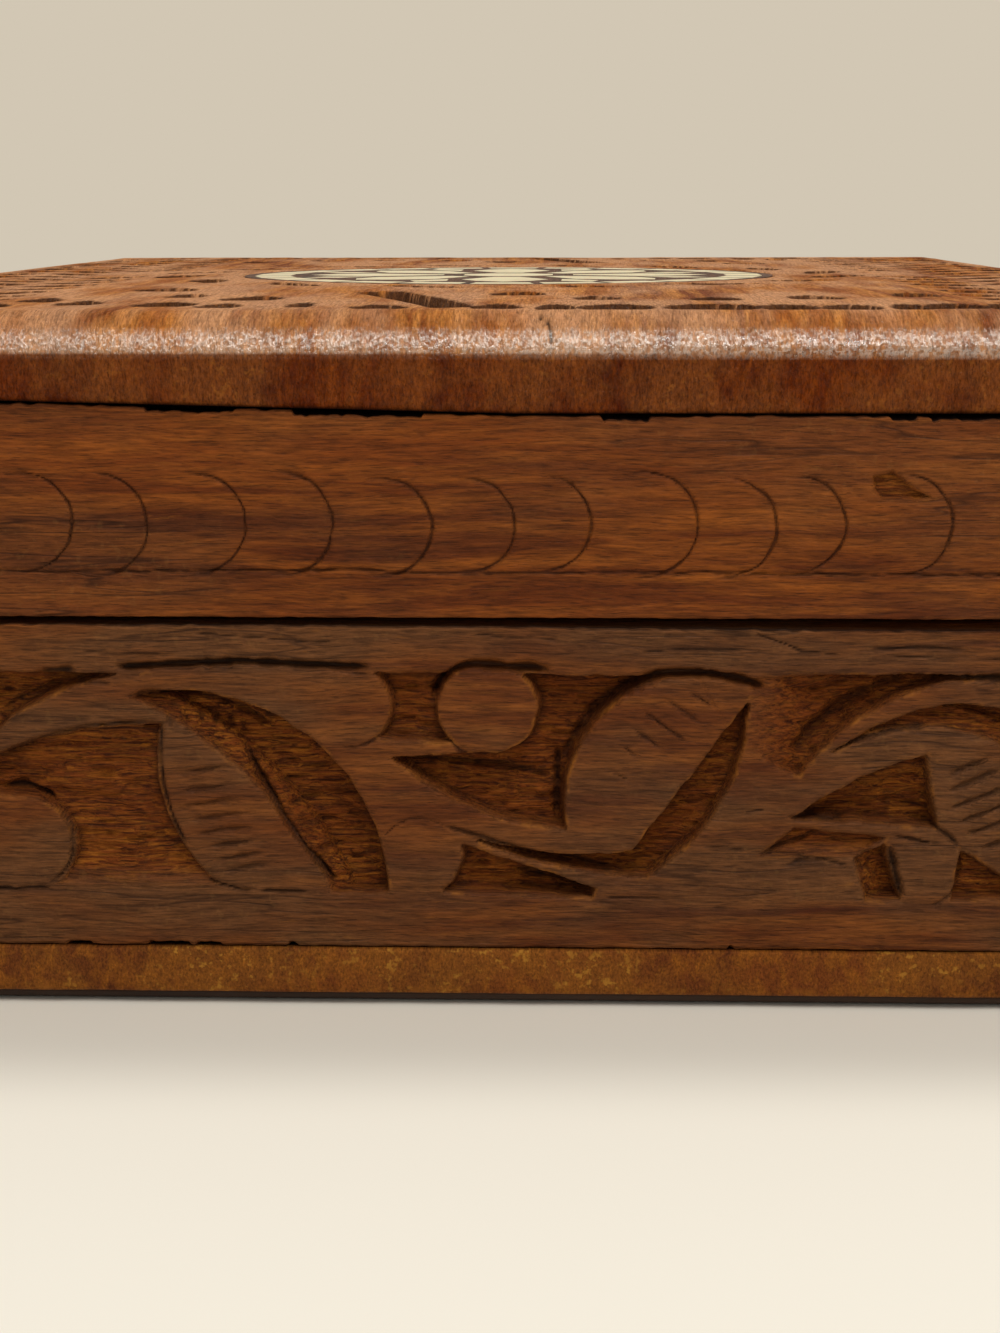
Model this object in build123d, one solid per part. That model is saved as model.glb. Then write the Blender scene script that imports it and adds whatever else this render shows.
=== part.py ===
from build123d import *
import math
import os

os.makedirs("parts", exist_ok=True)

# Carcase sizes in millimetres, +Z up. The photographed short end faces -Y and the hinges sit on -X.
box_width = 152.0
box_length = 203.0
board_overhang = 0.5
wall_thickness = 9.0
felt_thickness = 1.2
felt_inset = 1.0
bottom_board_thickness = 4.4
bottom_board_chamfer = 0.4
base_wall_height = 30.4
seam_gap = 0.5
lid_rail_height = 18.3
top_board_thickness = 8.7
top_edge_height = 5.2
edge_round_radius = 5.5

# Linings
floor_lining_thickness = 1.4
lid_lining_thickness = 1.0
lining_clearance = 0.3

# Relief on the base walls
relief_lower_border = 4.8
relief_upper_border = 4.4
relief_end_border = 8.0
vine_height = 21.2
vine_period = 69.0
front_vine_shift = 76.0
deep_cut = 2.4
middle_cut = 1.6
shallow_cut = 1.0

# Carved field of the top board
top_border = 7.0
top_cut = 2.0
field_ring_gap = 3.0
ring_leaf_count = 16
ring_leaf_length = 13.0
ring_leaf_width = 5.0
ring_leaf_turn = 62.0
chip_length = 8.0
chip_width = 5.5
chip_pitch = 11.0
spray_leaf_length = 15.0
spray_leaf_width = 5.5

# Leaves of one corner spray: turn in degrees, then distances in from the border across and along the lid
spray = ((38, 15.0, 17.0), (12, 31.0, 14.0), (72, 12.0, 34.0), (-28, 46.0, 18.0), (48, 30.0, 31.0))

# Inlay medallion
medallion_radius = 35.0
medallion_depth = 1.4
medallion_clearance = 0.05
inlay_depth = 0.9
inlay_sunk = 0.1
inlay_clearance = 0.05
tile_count = 24
tile_length = 4.6
tile_gap = 1.2
tile_rim = 1.6
petal_count = 8
petal_foot_gap = 2.2
petal_tip_gap = 2.4
petal_side_gap = 2.0
dart_tip_gap = 0.6
dart_length = 9.6
dart_width = 5.0
centre_radius = 6.4

# Butt hinges
hinge_length = 25.0
hinge_from_end = 39.0
knuckle_radius = 2.0
knuckle_face_clearance = 0.1
knuckle_end_clearance = 0.15
bore_radius = 1.0
pin_clearance = 0.03
leaf_thickness = 1.0
leaf_gap = 0.1
leaf_reach = 7.6
leaf_wall_gap = 0.35
mortise_clearance = 0.05
screw_hole_radius = 1.6
screw_spacing = 15.0

# Places that follow from the sizes
half_width = box_width / 2
half_length = box_length / 2
wall_x = half_width - board_overhang
wall_y = half_length - board_overhang
inner_x = wall_x - wall_thickness
inner_y = wall_y - wall_thickness
bottom_board_top = felt_thickness + bottom_board_thickness
base_wall_top = bottom_board_top + base_wall_height
lid_rail_bottom = base_wall_top + seam_gap
top_board_bottom = lid_rail_bottom + lid_rail_height
top_arris = top_board_bottom + top_edge_height
box_top = top_board_bottom + top_board_thickness
axis_x = -(wall_x + knuckle_radius + knuckle_face_clearance)
axis_z = base_wall_top + seam_gap / 2
tile_ring_inner = medallion_radius - tile_rim - tile_length

front_plane = Plane(origin=(0, -wall_y, 0), x_dir=(1, 0, 0), z_dir=(0, -1, 0))
back_plane = Plane(origin=(0, wall_y, 0), x_dir=(-1, 0, 0), z_dir=(0, 1, 0))
left_plane = Plane(origin=(-wall_x, 0, 0), x_dir=(0, -1, 0), z_dir=(-1, 0, 0))
right_plane = Plane(origin=(wall_x, 0, 0), x_dir=(0, 1, 0), z_dir=(1, 0, 0))


def block(x0, x1, y0, y1, z0, z1):
    centre = ((x0 + x1) / 2, (y0 + y1) / 2, (z0 + z1) / 2)
    return Pos(*centre) * Box(x1 - x0, y1 - y0, z1 - z0)


def outline(runs):
    """Closed face from runs of points: two points make a line, three an arc through the middle one."""
    return make_face([Line(*run) if len(run) == 2 else ThreePointArc(*run) for run in runs])


def polygon(points):
    return make_face([Line(points[i], points[(i + 1) % len(points)]) for i in range(len(points))])


# Outlines of the sunk ground between the stems, leaves and buds of the vine, as carved on the photographed
# end, in millimetres across from the middle and up from the foot of the field
vine_unit = {
    "crescent": (deep_cut, [
        [(31.6, 13.9), (45.5, 18.3), (60.0, 0.3)],
        [(60.0, 0.3), (55.0, 0.3)],
        [(55.0, 0.3), (46.5, 14.6), (31.6, 13.9)],
    ]),
    "bud_left": (middle_cut, [
        [(-9.8, 15.0), (-8.2, 18.2), (-10.2, 21.2)],
        [(-10.2, 21.2), (-2.2, 21.2)],
        [(-2.2, 21.2), (-3.9, 17.8), (-2.2, 14.5)],
        [(-2.2, 14.5), (-9.8, 15.0)],
    ]),
    "upper_wedge": (deep_cut, [
        [(-8.3, 13.3), (0.2, 13.8)],
        [(0.2, 13.8), (5.0, 17.7), (3.2, 21.2)],
        [(3.2, 21.2), (16.0, 20.8)],
        [(16.0, 20.8), (9.2, 15.0), (7.7, 6.5)],
        [(7.7, 6.5), (-0.4, 8.3), (-8.3, 13.3)],
    ]),
    "channel": (deep_cut, [
        [(24.0, 19.0), (13.6, 4.6)],
        [(13.6, 4.6), (5.6, 4.5), (-2.4, 6.2)],
        [(-2.4, 6.2), (6.0, 3.2), (15.0, 2.0)],
        [(15.0, 2.0), (21.6, 9.0), (24.0, 19.0)],
    ]),
    "lower_wedge": (deep_cut, [
        [(-1.9, 5.2), (10.4, 1.1)],
        [(10.4, 1.1), (10.2, 0.0)],
        [(10.2, 0.0), (-4.2, 0.5)],
        [(-4.2, 0.5), (-1.9, 5.2)],
    ]),
    "stem_triangle": (deep_cut, [
        [(28.1, 7.8), (33.6, 11.4), (40.0, 13.9)],
        [(40.0, 13.9), (41.2, 6.8)],
        [(41.2, 6.8), (28.1, 7.8)],
    ]),
    "step": (shallow_cut, [
        [(25.2, 4.4), (28.3, 7.0)],
        [(28.3, 7.0), (36.4, 6.2)],
        [(36.4, 6.2), (33.2, 4.6)],
        [(33.2, 4.6), (25.2, 4.4)],
    ]),
    "bud_groove": (middle_cut, [
        [(36.6, 5.6), (38.2, 0.0)],
        [(38.2, 0.0), (34.8, 0.0)],
        [(34.8, 0.0), (33.6, 4.2)],
        [(33.6, 4.2), (36.6, 5.6)],
    ]),
    "leaf_foot": (middle_cut, [
        [(43.3, 5.0), (51.5, 0.0)],
        [(51.5, 0.0), (42.6, 0.0)],
        [(42.6, 0.0), (43.3, 5.0)],
    ]),
    "crest": (middle_cut, [
        [(24.8, 19.2), (38.5, 21.0)],
        [(38.5, 21.0), (47.0, 20.9)],
        [(47.0, 20.9), (36.6, 18.6), (29.5, 12.4)],
        [(29.5, 12.4), (24.8, 19.2)],
    ]),
}
front_crescent = (deep_cut, [
    [(-32.4, 18.8), (-15.2, 14.8), (-8.6, 0.3)],
    [(-8.6, 0.3), (-13.8, 0.3)],
    [(-13.8, 0.3), (-20.6, 10.6), (-32.4, 18.8)],
])
front_left_ground = (middle_cut, [
    [(-28.8, 16.3), (-28.6, 8.0), (-23.4, 0.8)],
    [(-23.4, 0.8), (-40.0, 0.8)],
    [(-40.0, 0.8), (-37.4, 5.2), (-41.0, 9.2)],
    [(-41.0, 9.2), (-50.0, 10.4)],
    [(-50.0, 10.4), (-40.2, 14.9), (-28.8, 16.3)],
])


def carve_vine(wall, plane, half_run, placed):
    """Sinks the placed outlines into one wall. They are clipped to the field inside its plain borders."""
    field_foot = bottom_board_top + relief_lower_border
    field_height = base_wall_height - relief_lower_border - relief_upper_border
    half_field = half_run - relief_end_border
    field = Pos(0, field_foot + field_height / 2) * Rectangle(2 * half_field, field_height)
    rise = field_height / vine_height
    for (depth, runs), shift in placed:
        moved = [[(x + shift, field_foot + z * rise) for x, z in run] for run in runs]
        clipped = outline(moved) & field
        if clipped is None:
            continue
        for face in clipped.faces():
            wall -= extrude(plane * face, amount=-depth)
    return wall


def running_vine(half_run):
    units = math.ceil(half_run / vine_period)
    return [(cut, unit * vine_period) for unit in range(-units, units + 1) for cut in vine_unit.values()]


def photographed_vine():
    placed = [(cut, 0.0) for cut in vine_unit.values()]
    placed += [(front_crescent, 0.0), (front_left_ground, 0.0)]
    for name in ("upper_wedge", "channel", "lower_wedge", "crest"):
        placed.append((vine_unit[name], -front_vine_shift))
    for name in ("bud_left", "upper_wedge", "channel", "lower_wedge"):
        placed.append((vine_unit[name], vine_period))
    return placed


def mitred_bar(side, low, height):
    """One side of the frame between low and low + height, with 45 degree corners."""
    sign = -1 if side in ("front", "left") else 1
    corners = [(-wall_x, wall_y), (wall_x, wall_y), (inner_x, inner_y), (-inner_x, inner_y)]
    if side in ("left", "right"):
        corners = [(wall_x, -wall_y), (wall_x, wall_y), (inner_x, inner_y), (inner_x, -inner_y)]
    corners = [(sign * x, sign * y) for x, y in corners]
    return Pos(0, 0, low) * extrude(polygon(corners), amount=height, dir=(0, 0, 1))


def edge_profile(half):
    """Section of the top board: upright edge, then a round-over that meets it at a low arris."""
    drop = top_board_thickness - top_edge_height
    run = math.sqrt(2 * edge_round_radius * drop - drop * drop)
    lean = math.asin(1 - drop / edge_round_radius)
    halfway = (lean + math.pi / 2) / 2
    centre = (half - run, box_top - edge_round_radius)
    middle = (
        centre[0] + edge_round_radius * math.cos(halfway),
        centre[1] + edge_round_radius * math.sin(halfway),
    )
    return outline([
        [(-half, top_board_bottom), (half, top_board_bottom)],
        [(half, top_board_bottom), (half, top_arris)],
        [(half, top_arris), middle, (half - run, box_top)],
        [(half - run, box_top), (run - half, box_top)],
        [(run - half, box_top), (-middle[0], middle[1]), (-half, top_arris)],
        [(-half, top_arris), (-half, top_board_bottom)],
    ])


def leaf(centre, angle, length, width):
    """Chip-cut leaf: pointed at both ends and straight between its five corners, heavier at its foot."""
    half = width / 2
    corners = [
        (-length / 2, 0),
        (-length * 0.2, -half),
        (length * 0.2, -half * 0.8),
        (length / 2, 0),
        (-length * 0.15, half * 0.7),
    ]
    return Pos(*centre) * Rot(0, 0, angle) * polygon(corners)


def chip(centre, angle, length, width):
    """Three-cornered chip with its flat side along the border."""
    corners = [(-length / 2, 0), (length / 2, 0), (length * 0.12, width)]
    return Pos(*centre) * Rot(0, 0, angle) * polygon(corners)


def top_cuts():
    """Sunk ground of the carved field: leaves round the medallion, chips along the border, corner sprays."""
    placed = []
    ring_radius = medallion_radius + field_ring_gap + ring_leaf_width
    for number in range(ring_leaf_count):
        turn = 360 / ring_leaf_count * (number + 0.5)
        x = ring_radius * math.cos(math.radians(turn))
        y = ring_radius * math.sin(math.radians(turn))
        placed.append(leaf((x, y), turn + ring_leaf_turn, ring_leaf_length, ring_leaf_width))
    row_x = half_width - top_border
    row_y = half_length - top_border
    long_count = int(2 * (row_y - chip_width) // chip_pitch)
    short_count = int(2 * (row_x - chip_width) // chip_pitch)
    for sign in (-1, 1):
        for number in range(long_count):
            along = (number - (long_count - 1) / 2) * chip_pitch
            placed.append(chip((sign * row_x, along), sign * 90, chip_length, chip_width))
        for number in range(short_count):
            along = (number - (short_count - 1) / 2) * chip_pitch
            placed.append(chip((along, sign * row_y), 90 + sign * 90, chip_length, chip_width))
        for side in (-1, 1):
            for angle, in_x, in_y in spray:
                x = side * (row_x - in_x)
                y = sign * (row_y - in_y)
                placed.append(leaf((x, y), angle * side * sign, spray_leaf_length, spray_leaf_width))
    return placed


def ring_tile(number, grow):
    """Straight-sided tile of the medallion's rim, grown by the clearance for its pocket."""
    outer = tile_ring_inner + tile_length + grow
    inner = tile_ring_inner - grow
    pitch = math.pi / tile_count
    half_out = outer * math.tan(pitch) - tile_gap / 2 + grow
    half_in = inner * math.tan(pitch) - tile_gap / 2 + grow
    corners = [(inner, -half_in), (outer, -half_out), (outer, half_out), (inner, half_in)]
    return Rot(0, 0, 360 / tile_count * number) * polygon(corners)


def petal(number, grow):
    """Petal along a radius, from near the centre piece to near the tiles, widest past its middle."""
    inner = centre_radius + petal_foot_gap - grow
    outer = tile_ring_inner - petal_tip_gap + grow
    shoulder = inner + (outer - inner) * 0.53
    neck = outer - (outer - inner) * 0.17
    half = shoulder * math.tan(math.pi / petal_count) - petal_side_gap + grow
    corners = [
        (inner, -half * 0.3),
        (shoulder, -half),
        (neck, -half * 0.62),
        (outer, 0),
        (neck, half * 0.62),
        (shoulder, half),
        (inner, half * 0.3),
    ]
    return Rot(0, 0, 360 / petal_count * number) * polygon(corners)


def dart(number, grow):
    """Four-cornered dart between two petals."""
    outer = tile_ring_inner - dart_tip_gap + grow
    inner = outer - dart_length - 2 * grow
    wide = inner + (outer - inner) * 0.6
    half = dart_width / 2 + grow
    corners = [(inner, 0), (wide, -half), (outer, 0), (wide, half)]
    return Rot(0, 0, 360 / petal_count * (number + 0.5)) * polygon(corners)


def centre_piece(number, grow):
    """Eight-cornered middle of the medallion."""
    return RegularPolygon(centre_radius + grow, petal_count, rotation=180 / petal_count)


def hinge(centre_y):
    """Butt hinge about its middle: base leaf, lid leaf, pin and the two mortises for the leaves."""
    y0 = centre_y - hinge_length / 2
    y1 = centre_y + hinge_length / 2
    knuckle = (hinge_length - 2 * knuckle_end_clearance) / 3
    outer_knuckles = [(y0, y0 + knuckle), (y1 - knuckle, y1)]
    middle_knuckle = [(centre_y - knuckle / 2, centre_y + knuckle / 2)]
    leaf_end = -wall_x + leaf_reach
    base_levels = (axis_z - leaf_gap / 2 - leaf_thickness, axis_z - leaf_gap / 2)
    lid_levels = (axis_z + leaf_gap / 2, axis_z + leaf_gap / 2 + leaf_thickness)
    along_y = Plane(origin=(axis_x, y0, axis_z), x_dir=(1, 0, 0), z_dir=(0, 1, 0))

    def hinge_leaf(levels, knuckles):
        body = block(-wall_x + leaf_wall_gap, leaf_end, y0, y1, *levels)
        for a, b in knuckles:
            body += extrude(along_y.offset(a - y0) * Circle(knuckle_radius), amount=b - a)
            body += block(axis_x, -wall_x + leaf_wall_gap, a, b, *levels)
        body -= extrude(along_y * Circle(bore_radius), amount=hinge_length)
        for side in (-1, 1):
            x = -wall_x + leaf_wall_gap + (leaf_reach - leaf_wall_gap) / 2
            hole = Plane(origin=(x, centre_y + side * screw_spacing / 2, levels[0]))
            body -= extrude(hole * Circle(screw_hole_radius), amount=leaf_thickness)
        return body

    base_leaf = hinge_leaf(base_levels, outer_knuckles)
    lid_leaf = hinge_leaf(lid_levels, middle_knuckle)
    pin = extrude(along_y * Circle(bore_radius - pin_clearance), amount=hinge_length)
    mortise_y = (y0 - mortise_clearance, y1 + mortise_clearance)
    mortise_x = (-wall_x, leaf_end + mortise_clearance)
    base_mortise = block(*mortise_x, *mortise_y, base_levels[0], base_wall_top)
    lid_mortise = block(*mortise_x, *mortise_y, lid_rail_bottom, lid_levels[1])
    return base_leaf, lid_leaf, pin, base_mortise, lid_mortise


nodes = {}

# Felt, bottom board and floor lining
nodes["felt_base"] = block(
    felt_inset - half_width, half_width - felt_inset,
    felt_inset - half_length, half_length - felt_inset,
    0, felt_thickness,
)
bottom_board = block(-half_width, half_width, -half_length, half_length, felt_thickness, bottom_board_top)
nodes["bottom_board"] = chamfer(bottom_board.edges(), bottom_board_chamfer)
nodes["floor_lining"] = block(
    lining_clearance - inner_x, inner_x - lining_clearance,
    lining_clearance - inner_y, inner_y - lining_clearance,
    bottom_board_top, bottom_board_top + floor_lining_thickness,
)

# Base walls with their vine, and lid rails
for side, plane, half_run, placed in (
    ("front", front_plane, wall_x, photographed_vine()),
    ("back", back_plane, wall_x, running_vine(wall_x)),
    ("left", left_plane, wall_y, running_vine(wall_y)),
    ("right", right_plane, wall_y, running_vine(wall_y)),
):
    wall = mitred_bar(side, bottom_board_top, base_wall_height)
    nodes["base_wall_" + side] = carve_vine(wall, plane, half_run, placed)
    nodes["lid_rail_" + side] = mitred_bar(side, lid_rail_bottom, lid_rail_height)

# Top board with its carved field and the recess for the medallion
across = extrude(Plane.XZ.offset(-half_length) * edge_profile(half_width), amount=box_length)
along = extrude(Plane.YZ.offset(-half_width) * edge_profile(half_length), amount=box_width)
top_board = across & along
for face in top_cuts():
    top_board -= Pos(0, 0, box_top - top_cut) * extrude(face, amount=top_cut, dir=(0, 0, 1))
medallion_floor = box_top - medallion_depth
top_board -= Pos(0, 0, medallion_floor) * extrude(Circle(medallion_radius), amount=medallion_depth)
nodes["top_board"] = top_board

# Medallion: a ground disc with pale pieces let into it
inlay_top = box_top - inlay_sunk
inlay_floor = inlay_top - inlay_depth
ground = Pos(0, 0, medallion_floor) * extrude(
    Circle(medallion_radius - medallion_clearance), amount=inlay_top - medallion_floor
)
groups = {
    "inlay_tiles": [(ring_tile, number) for number in range(tile_count)],
    "inlay_petals": [(petal, number) for number in range(petal_count)],
    "inlay_darts": [(dart, number) for number in range(petal_count)],
    "inlay_centre": [(centre_piece, 0)],
}
for name, members in groups.items():
    pieces = []
    for shape, number in members:
        pieces.append(Pos(0, 0, inlay_floor) * extrude(shape(number, 0), amount=inlay_depth, dir=(0, 0, 1)))
        ground -= Pos(0, 0, inlay_floor) * extrude(shape(number, inlay_clearance), amount=inlay_depth, dir=(0, 0, 1))
    nodes[name] = Compound(pieces)
nodes["inlay_ground"] = ground
nodes["lid_lining"] = block(
    lining_clearance - inner_x, inner_x - lining_clearance,
    lining_clearance - inner_y, inner_y - lining_clearance,
    top_board_bottom - lid_lining_thickness, top_board_bottom,
)

# Hinges on the left long side
for name, sign in (("front", -1), ("rear", 1)):
    base_leaf, lid_leaf, pin, base_mortise, lid_mortise = hinge(sign * (wall_y - hinge_from_end))
    nodes["hinge_" + name + "_base_leaf"] = base_leaf
    nodes["hinge_" + name + "_lid_leaf"] = lid_leaf
    nodes["hinge_" + name + "_pin"] = pin
    nodes["base_wall_left"] -= base_mortise
    nodes["lid_rail_left"] -= lid_mortise

for name, shape in nodes.items():
    solids = shape.solids()
    export_step(Compound(solids) if len(solids) > 1 else solids[0], "parts/" + name + ".step")
    print(name, "solids", len(solids), "volume", round(shape.volume, 2))
print("hinge axis x, z:", axis_x, axis_z)
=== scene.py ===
import math

import bpy
import numpy as np
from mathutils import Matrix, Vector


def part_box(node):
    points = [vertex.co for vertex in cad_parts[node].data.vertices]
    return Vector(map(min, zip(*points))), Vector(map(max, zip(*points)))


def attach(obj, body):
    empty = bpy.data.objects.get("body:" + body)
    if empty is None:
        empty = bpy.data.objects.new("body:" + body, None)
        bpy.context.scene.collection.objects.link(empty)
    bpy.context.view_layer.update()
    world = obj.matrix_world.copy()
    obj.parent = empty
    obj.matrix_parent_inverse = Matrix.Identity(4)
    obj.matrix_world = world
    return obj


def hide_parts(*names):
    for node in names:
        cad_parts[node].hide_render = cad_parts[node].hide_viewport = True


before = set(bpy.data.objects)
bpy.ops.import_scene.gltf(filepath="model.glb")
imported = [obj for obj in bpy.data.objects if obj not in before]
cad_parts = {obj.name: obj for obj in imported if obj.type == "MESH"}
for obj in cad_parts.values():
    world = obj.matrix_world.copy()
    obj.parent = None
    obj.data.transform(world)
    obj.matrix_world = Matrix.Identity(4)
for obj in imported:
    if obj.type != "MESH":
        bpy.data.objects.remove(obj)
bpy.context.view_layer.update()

MM = 0.001


# Places read from the frame, in millimetres

def corners_mm(node):
    low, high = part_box(node)
    return [value / MM for value in low], [value / MM for value in high]


wall_low, wall_high = corners_mm("base_wall_front")
rail_low, rail_high = corners_mm("lid_rail_front")
board_low, board_high = corners_mm("top_board")
foot_low, foot_high = corners_mm("bottom_board")
wall_x = wall_high[0]
wall_y = -wall_low[1]
wall_thickness = 9.0
half_width = board_high[0]
half_length = board_high[1]
box_top = board_high[2]

# Sizes of the vine relief and depths of its cuts, the same as in the solids
lower_border = 4.8
upper_border = 4.4
end_border = 8.0
vine_period = 69.0
front_vine_shift = 76.0
deep_cut = 2.4
middle_cut = 1.6
shallow_cut = 1.0
field_foot = wall_low[2] + lower_border
field_top = wall_high[2] - upper_border

# What the photograph's frame shows of the front end, where meshes are finest
seen_left = -44.0
seen_right = 48.0


# Camera worked out from the photograph
photo_height = 1333
focal_pixels = 2080
camera_place = (6.86, -282.20, 72.23)
camera_pitch = 12.46
camera_yaw = 1.62
camera_roll = 0.10

camera = bpy.data.cameras.new("photo_camera")
camera.sensor_width = 36.0
camera.lens = focal_pixels / photo_height * camera.sensor_width
camera.clip_start = 0.005
camera_object = bpy.data.objects.new("photo_camera", camera)
camera_object.location = [value * MM for value in camera_place]
camera_object.rotation_euler = [math.radians(a) for a in (90 - camera_pitch, camera_roll, camera_yaw)]
bpy.context.scene.collection.objects.link(camera_object)
bpy.context.scene.camera = camera_object
bpy.context.scene.view_settings.view_transform = "Standard"


# Colour and shader helpers

def srgb(red, green, blue):
    """Linear colour of an 8-bit display colour."""
    values = [value / 255 for value in (red, green, blue)]
    return [v / 12.92 if v <= 0.04045 else ((v + 0.055) / 1.055) ** 2.4 for v in values] + [1.0]


# Heights of the bump textures in metres
fibre_bump = 0.00012
streak_bump = 0.00003
scratch_bump = 0.00004
nap_bump = 0.00012


class Nodes:
    """Helpers that add nodes to a tree. Inputs are given by name or number, as a value or a socket."""

    def __init__(self, tree):
        self.tree = tree

    def feed(self, socket, value):
        if isinstance(value, bpy.types.NodeSocket):
            self.tree.links.new(value, socket)
        else:
            socket.default_value = value

    def node(self, kind, inputs=(), **settings):
        made = self.tree.nodes.new(kind)
        for key, value in settings.items():
            setattr(made, key, value)
        for key, value in dict(inputs).items():
            self.feed(made.inputs[key], value)
        return made

    def math(self, operation, a, b=0.0):
        return self.node("ShaderNodeMath", {0: a, 1: b}, operation=operation).outputs[0]

    def times(self, a, b):
        return self.math("MULTIPLY", a, b)

    def seen_share(self):
        """1 where the camera, a mirror or glass sees a surface, and 0 where it only passes light on."""
        path = self.node("ShaderNodeLightPath").outputs
        seen = self.math("MAXIMUM", path["Is Camera Ray"], path["Is Glossy Ray"])
        return self.math("MAXIMUM", seen, path["Is Transmission Ray"])


class Shader(Nodes):
    """A node material under construction."""

    def __init__(self, name):
        self.material = bpy.data.materials.new(name)
        self.material.use_nodes = True
        super().__init__(self.material.node_tree)
        self.surface = self.tree.nodes["Principled BSDF"]
        self.place = self.node("ShaderNodeTexCoord").outputs["Object"]

    def set(self, **values):
        for key, value in values.items():
            self.feed(self.surface.inputs[key.replace("_", " ")], value)

    def vector(self, operation, a, b):
        return self.node("ShaderNodeVectorMath", {0: a, 1: b}, operation=operation).outputs[0]

    def ramp(self, value, low, high, out_low=0.0, out_high=1.0):
        return self.node("ShaderNodeMapRange", enumerate((value, low, high, out_low, out_high))).outputs[0]

    def mix(self, share, a, b, blend="MIX"):
        inputs = {0: share, 6: a, 7: b}
        return self.node("ShaderNodeMix", inputs, data_type="RGBA", blend_type=blend).outputs[2]

    def noise(self, per_metre, detail=3.0, rough=0.5, shift=0.0, distortion=0.0):
        """Noise with its own number of cells per metre along X, Y and Z."""
        inputs = {"Vector": self.place, "Location": (shift, shift * 1.7, shift * 2.3), "Scale": per_metre}
        inputs = {"Vector": self.node("ShaderNodeMapping", inputs).outputs[0], "Scale": 1.0}
        inputs.update(Detail=detail, Roughness=rough, Distortion=distortion)
        return self.node("ShaderNodeTexNoise", inputs).outputs["Fac"]

    def wave(self, per_metre, reach, shift):
        """Bends the textures made after it sideways by up to half its reach, in metres along X, Y and Z."""
        moved = self.vector("ADD", self.place, (shift, shift, shift))
        cloud = self.node("ShaderNodeTexNoise", {"Vector": moved, "Scale": per_metre, "Detail": 2.0})
        centred = self.vector("SUBTRACT", cloud.outputs["Color"], (0.5, 0.5, 0.5))
        self.place = self.vector("ADD", self.place, self.vector("MULTIPLY", centred, reach))

    def attribute(self, name):
        return self.node("ShaderNodeAttribute", attribute_name=name).outputs["Fac"]

    def bump(self, height, distance, normal=None):
        inputs = {"Strength": 1.0, "Distance": distance, "Height": height}
        if normal is not None:
            inputs["Normal"] = normal
        return self.node("ShaderNodeBump", inputs).outputs["Normal"]


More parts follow.
